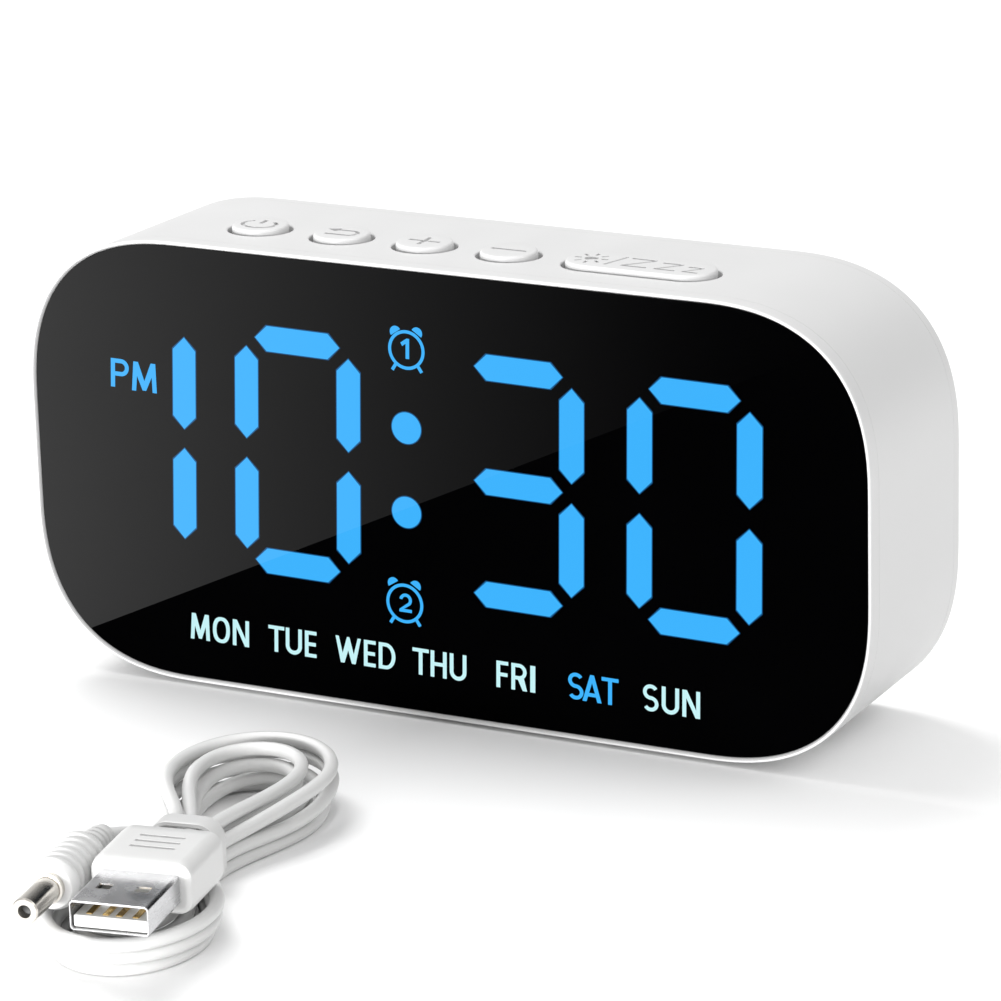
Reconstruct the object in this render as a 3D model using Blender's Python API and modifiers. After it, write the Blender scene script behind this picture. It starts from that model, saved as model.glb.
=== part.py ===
"""Digital alarm clock: white rounded housing, mirror-black front, five keys on top, loose power lead.

Run with: blender --background --python part.py
Every length below is in millimetres and MM turns it into metres. X runs to the right along the clock,
Y runs from the front face to the back, Z is up, and the origin is on the table under the middle.
"""
import math

import bmesh
import bpy
from mathutils import Matrix, Vector

MM = 0.001
GAP = 0.3                       # clearance between two touching pieces

# Housing
WIDTH, HEIGHT, DEPTH = 150.0, 75.0, 36.0
CORNER, CORNER_POWER, CORNER_STEPS = 29.0, 2.5, 10
FOOT_RISE = 0.6
MID_Z = FOOT_RISE + HEIGHT / 2
TOP_Z = FOOT_RISE + HEIGHT
WALL = 2.0
TOP_FALL = 0.031                # fall of the top towards the back for each millimetre of depth
RIM = 0.6
EDGE_DEPTH, EDGE_INSET = 2.6, 0.42
FRAME_BACK = 3.0                # depth where the front frame's visible band ends
SKIRT_WALL, SKIRT_BACK = 1.4, 6.2
COVER_FRONT = 33.75             # depth of the rear cover's inner face
BACK_ROUND = 0.6

# Front and display, depths behind the front face
LENS_FRONT, LENS_BACK = 0.5, 1.7
LEDGE_FRONT, LEDGE_WIDTH = 1.95, 3.35
MASK_FRONT, MASK_BACK = 3.3, 3.6
BOX_FRONT, BOX_BACK = 3.9, 8.3
BOARD_FRONT, BOARD_BACK = 8.6, 9.8
MASK_INSET, BOX_INSET, BOARD_INSET = 4.1, 5.0, 5.8
BOARD_SCREWS = [(x, MID_Z + z) for x in (-65.5, 65.5) for z in (-12.0, 12.0)]

# Seven-segment characters: places measured from the middle of the front
STROKE_LENGTH, STROKE_WIDTH, STROKE_TIP = 15.5, 4.2, 2.15
DIGIT_HALF_WIDTH, STROKE_RISE, DIGIT_MID_Z = 9.35, 9.4, 3.6
DIGIT_CENTRES = (-25.2, 14.6, 45.1)
ONE_X = -46.3
SLANT = math.tan(math.radians(1.9))
COLON_X, COLON_RISE, COLON_RADIUS = -5.4, 7.05, 2.65
ICON_RISE, ICON_RADIUS = 21.0, 3.4
WEEKDAY_CENTRES = (-41.3, -27.7, -14.2, -0.5, 13.2, 26.9, 40.8)
WEEKDAY_Z, WEEKDAY_SIZE = -28.2, (12.0, 5.6)
PM_CENTRE, PM_SIZE = (-55.4, 13.7), (9.4, 5.6)

# Keys
KEY_DEPTH, KEY_HOLE, KEY_GAP = 14.2, 5.35, 0.7
KEY_PLANE = TOP_Z - TOP_FALL * KEY_DEPTH
KEY_PROUD, KEY_TRAVEL = 0.9, 0.8
ROUND_KEYS = {"power_button": -38.3, "back_button": -23.2, "plus_button": -8.1, "minus_button": 7.0}
LONG_KEY, LONG_KEY_X, LONG_KEY_LENGTH = "snooze_button", 30.2, 26.9
FLANGE_EXTRA, FLANGE_HEIGHT = 0.9, 1.0
KEY_BOARD_TOP, KEY_BOARD_THICK = 65.6, 1.6
KEY_BOARD_X, KEY_BOARD_DEPTHS = (-44.0, 46.0), (10.4, 26.2)
KEY_POSTS = ((-38.0, 23.0), (38.0, 23.0))
SWITCH_SIZE, SWITCH_HEIGHT = 6.0, 3.1
PLUNGER_RADIUS, PLUNGER_HEIGHT = 1.7, 2.5

# Rear
POSTS = [(x, z) for x in (-58.0, 58.0) for z in (15.0, 61.0)]
POST_RADIUS, POST_FRONT, POST_BACK, RIB_REACH = 3.5, 10.1, 33.4, 29.9
BAY_X, BAY_Z = -22.0, 38.1
BAY_HALF_X, BAY_HALF_Z, BAY_FLOOR = 26.2, 17.4, 22.9
DOOR_HALF_X, DOOR_HALF_Z, DOOR_THICK = 29.0, 20.0, 1.7
DOOR_RECESS_DEPTH = 34.0
HINGE_Z = BAY_Z - DOOR_HALF_Z + 0.15
TAB_X = (BAY_X - 18.0, BAY_X + 18.0)
CELL_RADIUS, CELL_LENGTH, CELL_DEPTH, CELL_PITCH = 5.15, 44.5, 28.35, 11.2
JACK_X, JACK_Z = 40.0, 19.0
BUZZER_X, BUZZER_Z, BUZZER_RADIUS = 36.0, 50.0, 10.2
GRILLE_PITCH, GRILLE_HOLE = 3.4, 0.9
FEET = [(x, d) for x in (-40.0, 40.0) for d in (8.0, 28.0)]
FOOT_RADIUS, FOOT_THICK = 4.0, 1.2

# Power lead, laid out in its own frame: X from the far loop to the near one, Y to the clock's right
CABLE_CENTRE, CABLE_ANGLE = (-3.0, -91.5), math.radians(-80.0)
CORD = 2.2
HANK_HEIGHT = 6.6
FAR_LOOP, NEAR_LOOP, WAIST = (-18.5, 22.5, 14.0), (21.0, 20.0, 13.5), 5.0
EYES = ((-20.0, 13.5, 7.2), (23.0, 11.0, 6.6))
TIE_X, TIE_HALF_WIDTH, TIE_THICK, TIE_TOP = 2.5, 2.0, 0.9, 10.6
PLUG_START, PLUG_LENGTH, PLUG_Y, PLUG_Z = 13.0, 21.0, -8.8, 11.15
PLUG_LEAD = [(-12.0, -2.5, 8.1), (-4.0, -2.3, 8.1), (4.0, -2.4, 8.1), (8.4, -6.0, 9.8),
             (12.0, PLUG_Y, PLUG_Z)]
USB_START, USB_LENGTH, USB_Y, USB_Z = 12.4, 18.0, 3.6, 10.95
USB_LEAD = [(-12.0, 2.2, 8.1), (-4.0, 1.9, 8.1), (4.0, 2.0, 8.1), (8.2, 3.0, 9.8), (11.7, USB_Y, USB_Z)]

PARTS = None
CUTTERS = None
MATERIALS = {
    "white_abs": ((0.86, 0.86, 0.86), 0.35, 0.0),
    "key_white": ((0.90, 0.90, 0.90), 0.30, 0.0),
    "lens_black": ((0.004, 0.004, 0.005), 0.05, 0.0),
    "mask_film": ((0.02, 0.02, 0.02), 0.5, 0.0),
    "reflector_white": ((0.80, 0.80, 0.78), 0.5, 0.0),
    "board_green": ((0.02, 0.16, 0.08), 0.45, 0.0),
    "chip_black": ((0.02, 0.02, 0.02), 0.5, 0.0),
    "black_plastic": ((0.03, 0.03, 0.03), 0.45, 0.0),
    "steel": ((0.62, 0.62, 0.62), 0.3, 1.0),
    "nickel": ((0.70, 0.68, 0.64), 0.25, 1.0),
    "cell_wrap": ((0.10, 0.22, 0.42), 0.35, 0.3),
    "foot_rubber": ((0.12, 0.12, 0.12), 0.8, 0.0),
    "wire_red": ((0.55, 0.03, 0.03), 0.45, 0.0),
    "ribbon_grey": ((0.45, 0.45, 0.47), 0.5, 0.0),
    "cable_white": ((0.82, 0.82, 0.81), 0.5, 0.0),
    "plug_white": ((0.84, 0.84, 0.83), 0.4, 0.0),
}


# ---------------------------------------------------------------- scene helpers

def clear_scene():
    """Remove every object and make the two collections."""
    global PARTS, CUTTERS
    for item in list(bpy.data.objects):
        bpy.data.objects.remove(item, do_unlink=True)
    PARTS = bpy.data.collections.new("alarm_clock")
    CUTTERS = bpy.data.collections.new("cutters")
    for collection in (PARTS, CUTTERS):
        bpy.context.scene.collection.children.link(collection)


def material(name):
    """The Principled material of that name, made on first use."""
    if name in bpy.data.materials:
        return bpy.data.materials[name]
    colour, roughness, metallic = MATERIALS[name]
    made = bpy.data.materials.new(name)
    made.use_nodes = True
    shader = made.node_tree.nodes["Principled BSDF"]
    shader.inputs["Base Color"].default_value = (*colour, 1.0)
    shader.inputs["Roughness"].default_value = roughness
    shader.inputs["Metallic"].default_value = metallic
    made.diffuse_color = (*colour, 1.0)
    return made


def object_from_mesh(name, mesh, location=(0, 0, 0)):
    """A cutter-side object for a mesh, placed at a point in millimetres."""
    made = bpy.data.objects.new(name, mesh)
    made.location = Vector(location) * MM
    made.hide_render = True
    made.display_type = "WIRE"
    CUTTERS.objects.link(made)
    return made


def object_from_bmesh(name, bm, location=(0, 0, 0)):
    """An object for a bmesh whose coordinates are in millimetres."""
    bmesh.ops.scale(bm, vec=(MM, MM, MM), verts=bm.verts)
    bmesh.ops.recalc_face_normals(bm, faces=bm.faces)
    mesh = bpy.data.meshes.new(name)
    bm.to_mesh(mesh)
    bm.free()
    return object_from_mesh(name, mesh, location)


def piece(item, name, material_name, parent=None):
    """Turn a shape into a named part with its material."""
    CUTTERS.objects.unlink(item)
    PARTS.objects.link(item)
    item.name = name
    item.data.name = name
    item.hide_render = False
    item.display_type = "TEXTURED"
    item.data.materials.clear()
    item.data.materials.append(material(material_name))
    item.data.shade_smooth()
    item.data.set_sharp_from_angle(angle=math.radians(30))
    if parent is not None:
        item.parent = parent
    return item


def baked(item):
    """The evaluated mesh of an object, in place of the object and its modifiers."""
    bpy.context.view_layer.update()
    graph = bpy.context.evaluated_depsgraph_get()
    mesh = bpy.data.meshes.new_from_object(item.evaluated_get(graph))
    bm = bmesh.new()
    bm.from_mesh(mesh)
    bmesh.ops.remove_doubles(bm, verts=bm.verts, dist=1e-6)
    bmesh.ops.recalc_face_normals(bm, faces=bm.faces)
    bm.to_mesh(mesh)
    bm.free()
    made = object_from_mesh(item.name, mesh)
    made.matrix_world = item.matrix_world.copy()
    bpy.data.objects.remove(item, do_unlink=True)
    return made


def boolean(target, tool, operation):
    """Add one exact Boolean, with the tool kept in the cutters' collection."""
    modifier = target.modifiers.new(operation.lower() + "_" + tool.name, "BOOLEAN")
    modifier.operation = operation
    modifier.solver = "EXACT"
    modifier.object = tool
    return target


def merged(name, shapes):
    """One object holding several separate closed shapes, used as a single Boolean tool."""
    bm = bmesh.new()
    bpy.context.view_layer.update()
    for shape in shapes:
        shape.data.transform(shape.matrix_world)
        bm.from_mesh(shape.data)
        bpy.data.objects.remove(shape, do_unlink=True)
    mesh = bpy.data.meshes.new(name)
    bm.to_mesh(mesh)
    bm.free()
    return object_from_mesh(name, mesh)


# ---------------------------------------------------------------- shape helpers

def front(depth):
    """World Y of a depth behind the front face."""
    return depth - DEPTH / 2


def outline(inset=0.0, top_drop=0.0):
    """Points (x, z) around the housing, moved in by inset, with the top lowered further by top_drop."""
    half_width = WIDTH / 2 - inset
    low, high = FOOT_RISE + inset, TOP_Z - inset - top_drop
    radius = CORNER - inset
    centres = ((half_width - radius, high - radius), (radius - half_width, high - radius),
               (radius - half_width, low + radius), (half_width - radius, low + radius))
    points = []
    for quarter, (cx, cz) in enumerate(centres):
        for step in range(CORNER_STEPS + 1):
            angle = math.pi / 2 * step / CORNER_STEPS
            u = radius * math.cos(angle) ** (2 / CORNER_POWER)
            v = radius * math.sin(angle) ** (2 / CORNER_POWER)
            for _ in range(quarter):
                u, v = -v, u
            points.append((cx + u, cz + v))
    return points


def loft(name, rings, closed=False, location=(0, 0, 0)):
    """Join rings of equally many points. A closed loft returns to its first ring, others are capped."""
    bm = bmesh.new()
    loops = [[bm.verts.new(point) for point in ring] for ring in rings]
    pairs = list(zip(loops, loops[1:]))
    if closed:
        pairs.append((loops[-1], loops[0]))
    for first, second in pairs:
        for i in range(len(first)):
            bm.faces.new((first[i - 1], first[i], second[i], second[i - 1]))
    if not closed:
        bm.faces.new(loops[0])
        bm.faces.new(loops[-1])
    return object_from_bmesh(name, bm, location)


def housing_loft(name, sections, closed=False):
    """Loft through copies of the housing outline, each section being (depth, inset)."""
    rings = [[(x, front(depth), z) for x, z in outline(inset, TOP_FALL * depth)] for depth, inset in sections]
    return loft(name, rings, closed)


def plate(name, loops, depth_front, depth_back):
    """A flat plate parallel to the front face: a filled 2D curve whose inner loops are holes."""
    data = bpy.data.curves.new(name, "CURVE")
    data.dimensions = "2D"
    data.fill_mode = "BOTH"
    data.extrude = (depth_back - depth_front) / 2 * MM
    for loop in loops:
        spline = data.splines.new("POLY")
        spline.points.add(len(loop) - 1)
        for point, (x, z) in zip(spline.points, loop):
            point.co = (x * MM, z * MM, 0.0, 1.0)
        spline.use_cyclic_u = True
    item = bpy.data.objects.new(name, data)
    CUTTERS.objects.link(item)
    item.rotation_euler = (math.pi / 2, 0, 0)
    item.location = (0, front((depth_front + depth_back) / 2) * MM, 0)
    return baked(item)


def box(name, low, high):
    """A box between two corners."""
    bm = bmesh.new()
    bmesh.ops.create_cube(bm, size=1.0)
    low, high = Vector(low), Vector(high)
    bmesh.ops.scale(bm, vec=high - low, verts=bm.verts)
    bmesh.ops.translate(bm, vec=(low + high) / 2, verts=bm.verts)
    return object_from_bmesh(name, bm)


def depth_box(name, x_range, depth_range, z_range):
    """A box given by its X range, its depths behind the front face and its Z range."""
    low = (x_range[0], front(depth_range[0]), z_range[0])
    return box(name, low, (x_range[1], front(depth_range[1]), z_range[1]))


def cylinder(name, radius, start, end, end_radius=None, steps=20):
    """A cylinder or cone between two points."""
    start, end = Vector(start), Vector(end)
    bm = bmesh.new()
    bmesh.ops.create_cone(bm, cap_ends=True, segments=steps, radius1=radius,
                          radius2=radius if end_radius is None else end_radius, depth=(end - start).length)
    turn = (end - start).to_track_quat("Z", "Y").to_matrix().to_4x4()
    bmesh.ops.transform(bm, matrix=Matrix.Translation((start + end) / 2) @ turn, verts=bm.verts)
    return object_from_bmesh(name, bm)


def upright(name, radius, x, depth, low, high, steps):
    """An upright cylinder at x and a depth behind the front face."""
    return cylinder(name, radius, (x, front(depth), low), (x, front(depth), high), steps=steps)


def lying(name, radius, x, z, depth_front, depth_back, steps):
    """A cylinder along Y at x and z, between two depths behind the front face."""
    return cylinder(name, radius, (x, front(depth_front), z), (x, front(depth_back), z), steps=steps)


def turned(name, profile, steps=24):
    """A turned shape about local Z: profile (radius, z) runs down its outer side."""
    mesh = bpy.data.meshes.new(name)
    verts = [(radius * MM, 0, z * MM) for radius, z in profile]
    mesh.from_pydata(verts, [(i, i + 1) for i in range(len(verts) - 1)], [])
    item = object_from_mesh(name, mesh)
    screw = item.modifiers.new("turn", "SCREW")
    screw.steps = screw.render_steps = steps
    screw.use_merge_vertices = True
    screw.merge_threshold = 0.000001
    return item


def circle(centre, radius, steps=20):
    """Points around a circle in a plane."""
    cx, cy = centre
    angles = [2 * math.pi * step / steps for step in range(steps)]
    return [(cx + radius * math.cos(a), cy + radius * math.sin(a)) for a in angles]


def stadium(centre, length, width, steps=10):
    """Points around a slot with round ends, long in its first direction."""
    cx, cy = centre
    radius, reach = width / 2, (length - width) / 2
    points = []
    for side in (1, -1):
        for step in range(steps + 1):
            angle = math.pi * step / steps - math.pi / 2
            along, across = reach + radius * math.cos(angle), radius * math.sin(angle)
            points.append((cx + side * along, cy + side * across))
    return points


def rounded_rectangle(centre, half_x, half_y, radius, steps=4):
    """Points around a rectangle with round corners."""
    cx, cy = centre
    points = []
    for quarter in range(4):
        for step in range(steps + 1):
            angle = math.pi / 2 * (quarter + step / steps)
            sx, sy = (1, -1, -1, 1)[quarter], (1, 1, -1, -1)[quarter]
            points.append((cx + sx * (half_x - radius) + radius * math.cos(angle),
                           cy + sy * (half_y - radius) + radius * math.sin(angle)))
    return points


def smooth_route(points, spacing):
    """Points about spacing apart on a Catmull-Rom curve through the given ones."""
    route = [Vector(p) for p in points]
    route = [route[0] * 2 - route[1]] + route + [route[-1] * 2 - route[-2]]
    fine = []
    for a, b, c, d in zip(route, route[1:], route[2:], route[3:]):
        count = max(1, round((c - b).length / spacing))
        for step in range(count):
            t = step / count
            fine.append(0.5 * ((2 * b) + (c - a) * t + (2 * a - 5 * b + 4 * c - d) * t * t
                               + (3 * b - a - 3 * c + d) * t ** 3))
    return fine + [route[-2]]


def tube(name, points, diameter):
    """A round wire along points, closed at both ends, as a mesh."""
    data = bpy.data.curves.new(name, "CURVE")
    data.dimensions = "3D"
    data.bevel_depth = diameter / 2 * MM
    data.bevel_resolution = 2
    data.use_fill_caps = True
    spline = data.splines.new("POLY")
    spline.points.add(len(points) - 1)
    for point, place in zip(spline.points, points):
        point.co = (*(Vector(place) * MM), 1.0)
    item = bpy.data.objects.new(name, data)
    CUTTERS.objects.link(item)
    return baked(item)


# ---------------------------------------------------------------- housing

def make_front_frame():
    """The white front ring: rounded edge, ledge behind the lens, and a skirt that enters the shell."""
    skirt_out = WALL + GAP
    skirt_in = skirt_out + SKIRT_WALL
    steps = 3
    angles = [math.pi / 2 * step / steps for step in range(steps + 1)]
    sections = [(EDGE_DEPTH * (1 - math.sin(a)), EDGE_INSET * (1 - math.cos(a))) for a in angles]
    ledge_in = RIM + LEDGE_WIDTH
    sections += [(0, RIM), (LEDGE_FRONT, RIM), (LEDGE_FRONT, ledge_in), (FRAME_BACK, ledge_in),
                 (FRAME_BACK, skirt_in), (SKIRT_BACK, skirt_in), (SKIRT_BACK, skirt_out),
                 (FRAME_BACK, skirt_out), (FRAME_BACK, 0)]
    piece(housing_loft("frame", sections, closed=True), "front_frame", "white_abs")


def make_lens_and_mask():
    """The mirror-black lens in its recess, and the printed mask film behind it."""
    inset = RIM + GAP
    lens = housing_loft("lens", [(LENS_FRONT, inset), (LENS_BACK, inset)])
    piece(lens, "front_lens", "lens_black")
    mask = plate("mask", [outline(MASK_INSET)], MASK_FRONT, MASK_BACK)
    piece(mask, "display_mask", "mask_film")


def stroke_outline(cx, cz, upright):
    """The six-sided outline of one segment, slanted with the character."""
    long, tip, half = STROKE_LENGTH / 2, STROKE_TIP, STROKE_WIDTH / 2
    corners = [(long, 0), (long - tip, half), (tip - long, half), (-long, 0), (tip - long, -half),
               (long - tip, -half)]
    if upright:
        corners = [(-b, a) for a, b in corners]
    return [(cx + a + SLANT * (cz + b - DIGIT_MID_Z), MID_Z + cz + b) for a, b in corners]


def display_windows():
    """Outlines of every lit window of the display, with the point of its LED."""
    windows = []

    def add(points, x, z):
        windows.append((points, (x + SLANT * (z - DIGIT_MID_Z), MID_Z + z)))

    for rise in (STROKE_RISE, -STROKE_RISE):
        add(stroke_outline(ONE_X, DIGIT_MID_Z + rise, True), ONE_X, DIGIT_MID_Z + rise)
        for centre in DIGIT_CENTRES:
            for x in (centre - DIGIT_HALF_WIDTH, centre + DIGIT_HALF_WIDTH):
                add(stroke_outline(x, DIGIT_MID_Z + rise, True), x, DIGIT_MID_Z + rise)
    for rise in (2 * STROKE_RISE, 0, -2 * STROKE_RISE):
        for centre in DIGIT_CENTRES:
            add(stroke_outline(centre, DIGIT_MID_Z + rise, False), centre, DIGIT_MID_Z + rise)
    for side in (1, -1):
        for rise, radius in ((COLON_RISE, COLON_RADIUS), (ICON_RISE, ICON_RADIUS)):
            z = DIGIT_MID_Z + side * rise
            centre = (COLON_X + SLANT * (z - DIGIT_MID_Z), MID_Z + z)
            windows.append((circle(centre, radius, 16), centre))
    labels = [((x, WEEKDAY_Z), WEEKDAY_SIZE) for x in WEEKDAY_CENTRES] + [(PM_CENTRE, PM_SIZE)]
    for (x, z), (width, height) in labels:
        centre = (x, MID_Z + z)
        windows.append((rounded_rectangle(centre, width / 2, height / 2, 0.6, 1), centre))
    return windows


def make_display():
    """The reflector block with its light cavities, and the board with one LED under each cavity."""
    windows = display_windows()
    pilots = [circle(centre, 1.1, 12) for centre in BOARD_SCREWS]
    block = plate("block", [outline(BOX_INSET)] + [w for w, _ in windows] + pilots, BOX_FRONT, BOX_BACK)
    piece(block, "light_box", "reflector_white")
    holes = [circle(centre, 1.3, 12) for centre in BOARD_SCREWS]
    board = plate("board", [outline(BOARD_INSET)] + holes, BOARD_FRONT, BOARD_BACK)
    leds = [depth_box("led", (x - 1.5, x + 1.5), (BOARD_FRONT - 0.7, BOARD_FRONT + 0.2), (z - 0.8, z + 0.8))
            for _, (x, z) in windows]
    boolean(board, merged("leds", leds), "UNION")
    piece(board, "display_board", "board_green")
    chip = depth_box("chip", (-18.0, -3.0), (BOARD_BACK + GAP, BOARD_BACK + GAP + 2.0), (26.0, 36.0))
    piece(chip, "controller_chip", "chip_black")
    profile = [(0, 0), (1.7, 0), (1.9, -0.4), (1.9, -1.4), (0.85, -1.4), (0.85, -6.0), (0, -6.3)]
    for number, (x, z) in enumerate(BOARD_SCREWS, start=1):
        screw = turned("screw", profile, 12)
        screw.location = Vector((x, front(BOARD_BACK + GAP + 1.4), z)) * MM
        screw.rotation_euler = (-math.pi / 2, 0, 0)
        piece(screw, f"board_screw_{number}", "steel")


def rib_to_corner(x, z):
    """A rib from a screw post to the shell's corner, turned towards that corner."""
    corner_x = math.copysign(WIDTH / 2 - CORNER, x)
    corner = Vector((corner_x, MID_Z + math.copysign(HEIGHT / 2 - CORNER, z - MID_Z)))
    direction = (Vector((x, z)) - corner).normalized()
    reach = RIB_REACH - (Vector((x, z)) - corner).length
    low, high = (-1.0, front(12.0), 0.0), (1.0, front(29.5), reach)
    rib = box("rib", low, high)
    rib.rotation_euler = (0, math.atan2(direction.x, direction.y), 0)
    rib.location = Vector((x, 0, z)) * MM
    return rib


def make_main_shell():
    """The sleeve between front frame and rear cover, with key holes, screw posts and foot pockets."""
    seam = FRAME_BACK + GAP
    back = COVER_FRONT - GAP
    shell = housing_loft("sleeve", [(seam, 0), (back, 0), (back, WALL), (seam, WALL)], True)
    for number, (x, z) in enumerate(POSTS, start=1):
        post = lying("post", POST_RADIUS, x, z, POST_FRONT, POST_BACK, 20)
        boolean(shell, rib_to_corner(x, z), "UNION").modifiers[-1].name = f"rib_{number}"
        boolean(shell, post, "UNION").modifiers[-1].name = f"post_{number}"
    top_inside = TOP_Z - WALL
    key_posts = [upright("key_post", 2.5, x, d, KEY_BOARD_TOP + GAP, top_inside + 0.8, 16)
                 for x, d in KEY_POSTS]
    boolean(shell, merged("key_posts", key_posts), "UNION")

    holes = [upright("key_hole", KEY_HOLE, x, KEY_DEPTH, top_inside - 1, TOP_Z + 1, 32)
             for x in ROUND_KEYS.values()]
    slot_points = stadium((LONG_KEY_X, front(KEY_DEPTH)), LONG_KEY_LENGTH, 2 * KEY_HOLE, 14)
    holes.append(loft("slot", [[(x, y, z) for x, y in slot_points] for z in (top_inside - 1, TOP_Z + 1)]))
    pilots = [lying("pilot", 1.65, x, z, 22.0, POST_BACK + 1, 12) for x, z in POSTS]
    key_pilots = [upright("key_pilot", 1.35, x, d, KEY_BOARD_TOP, 72.5, 12) for x, d in KEY_POSTS]
    pockets = [upright("pocket", FOOT_RADIUS + GAP, x, d, FOOT_RISE - 1, FOOT_THICK + GAP, 24)
               for x, d in FEET]
    boolean(shell, merged("shell_holes", holes + pilots + key_pilots + pockets), "DIFFERENCE")
    piece(shell, "main_shell", "white_abs")
    for number, (x, d) in enumerate(FEET, start=1):
        foot = turned("foot", [(0, 1.2), (3.9, 1.2), (4.0, 1.1), (4.0, 0.2), (3.8, 0), (0, 0)])
        foot.location = Vector((x, front(d), 0)) * MM
        piece(foot, f"rubber_foot_{number}", "foot_rubber")


def grille_points():
    """Centres of the sound holes: a hexagonal pattern around the buzzer."""
    points = []
    for row in range(-2, 3):
        count = 5 - abs(row)
        for column in range(count):
            points.append((BUZZER_X + (column - (count - 1) / 2) * GRILLE_PITCH,
                           BUZZER_Z + row * GRILLE_PITCH * math.sqrt(3) / 2))
    return points


def make_rear_cover():
    """The rear cover: plate with a rounded edge, skirt, battery bay, buzzer collar and jack shelf."""
    steps = 3
    angles = [math.pi / 2 * step / steps for step in range(steps + 1)]
    sections = [(COVER_FRONT, 0)]
    sections += [(DEPTH - BACK_ROUND * (1 - math.sin(a)), BACK_ROUND * (1 - math.cos(a))) for a in angles]
    cover = housing_loft("cover", sections)
    into_plate = COVER_FRONT + 0.6
    skirt_out = WALL + GAP
    skirt_in = skirt_out + SKIRT_WALL
    skirt = housing_loft("skirt", [(30.5, skirt_out), (into_plate, skirt_out), (into_plate, skirt_in),
                                   (30.5, skirt_in)], True)
    boolean(cover, skirt, "UNION")
    bay_x = (BAY_X - BAY_HALF_X - 1.7, BAY_X + BAY_HALF_X + 1.7)
    bay_z = (BAY_Z - BAY_HALF_Z - 1.7, BAY_Z + BAY_HALF_Z + 1.7)
    boolean(cover, depth_box("bay", bay_x, (BAY_FLOOR - 1.7, into_plate), bay_z), "UNION")
    collar_x = (BAY_X - DOOR_HALF_X - 2.8, BAY_X + DOOR_HALF_X + 2.8)
    collar_z = (BAY_Z - DOOR_HALF_Z - 2.8, BAY_Z + DOOR_HALF_Z + 2.0)
    boolean(cover, depth_box("collar", collar_x, (32.2, into_plate), collar_z), "UNION")
    shelf = depth_box("shelf", (JACK_X - 11.5, JACK_X + 11.5), (24.0, into_plate),
                      (JACK_Z - 7.7, JACK_Z - 6.2))
    boolean(cover, shelf, "UNION")
    ring = plate("ring", [circle((BUZZER_X, BUZZER_Z), BUZZER_RADIUS + 2.0, 32),
                          circle((BUZZER_X, BUZZER_Z), BUZZER_RADIUS + GAP, 32)], 29.0, into_plate)
    boolean(cover, ring, "UNION")

    bay_cut = depth_box("bay_cut", (BAY_X - BAY_HALF_X, BAY_X + BAY_HALF_X), (BAY_FLOOR, DEPTH + 1),
                        (BAY_Z - BAY_HALF_Z, BAY_Z + BAY_HALF_Z))
    boolean(cover, bay_cut, "DIFFERENCE")
    recess_loop = rounded_rectangle((BAY_X, BAY_Z), DOOR_HALF_X + GAP, DOOR_HALF_Z + GAP, 3.3)
    boolean(cover, plate("recess", [recess_loop], DOOR_RECESS_DEPTH, DEPTH + 1), "DIFFERENCE")
    tools = [depth_box("tab_slot", (x - 4.4, x + 4.4), (31.6, 34.4), (HINGE_Z - 2.0, HINGE_Z + 4.1))
             for x in TAB_X]
    tools.append(lying("jack_hole", 3.8, JACK_X, JACK_Z, 30.0, DEPTH + 1, 24))
    tools += [lying("sound_hole", GRILLE_HOLE, x, z, COVER_FRONT - 1, DEPTH + 1, 10)
              for x, z in grille_points()]
    boolean(cover, merged("cover_holes", tools), "DIFFERENCE")
    shanks = [lying("clearance", 1.8, x, z, COVER_FRONT - 1, DEPTH + 1, 16) for x, z in POSTS]
    sinks = [lying("sink", 3.2, x, z, DEPTH - 1.5, DEPTH + 1, 16) for x, z in POSTS]
    boolean(cover, merged("shanks", shanks), "DIFFERENCE")
    boolean(cover, merged("sinks", sinks), "DIFFERENCE")
    piece(cover, "rear_cover", "white_abs")
    profile = [(0, 0), (2.4, 0), (2.8, -0.3), (2.8, -0.9), (1.3, -1.0), (1.3, -9.0), (0, -9.8)]
    for number, (x, z) in enumerate(POSTS, start=1):
        screw = turned("screw", profile, 16)
        screw.location = Vector((x, front(DEPTH - 0.25), z)) * MM
        screw.rotation_euler = (-math.pi / 2, 0, 0)
        piece(screw, f"rear_screw_{number}", "steel")


def make_battery_door():
    """The door, hinged on two tabs below its lower edge. Its origin is on the turning axis."""
    loop = rounded_rectangle((BAY_X, BAY_Z), DOOR_HALF_X, DOOR_HALF_Z, 3.0)
    door = plate("door", [loop], DEPTH - DOOR_THICK, DEPTH)
    low = BAY_Z - DOOR_HALF_Z
    for x in TAB_X:
        foot = depth_box("tab", (x - 4.0, x + 4.0), (32.4, 33.45), (HINGE_Z - 1.5, low + 1.8))
        neck = depth_box("neck", (x - 4.0, x + 4.0), (33.0, DEPTH - DOOR_THICK + 0.4),
                         (low + 0.6, low + 1.8))
        boolean(door, foot, "UNION").modifiers[-1].name = f"tab_{x:.0f}"
        boolean(door, neck, "UNION").modifiers[-1].name = f"neck_{x:.0f}"
    top = BAY_Z + DOOR_HALF_Z
    slits = [depth_box("slit", (x - 0.5, x + 0.5), (DEPTH - 3, DEPTH + 1), (top - 9, top + 1))
             for x in (BAY_X - 7.0, BAY_X + 7.0)]
    grips = [depth_box("grip", (BAY_X - 4.5, BAY_X + 4.5), (DEPTH - 0.6, DEPTH + 1),
                       (top - z - 0.5, top - z + 0.5))
             for z in (2.5, 4.5, 6.5)]
    boolean(door, merged("slits", slits + grips), "DIFFERENCE")
    door = baked(door)
    hinge = Vector((BAY_X, front(DEPTH), HINGE_Z)) * MM
    door.data.transform(Matrix.Translation(-hinge) @ door.matrix_world)
    door.matrix_world = Matrix.Translation(hinge)
    piece(door, "battery_door", "white_abs")


# ---------------------------------------------------------------- inside

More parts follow.
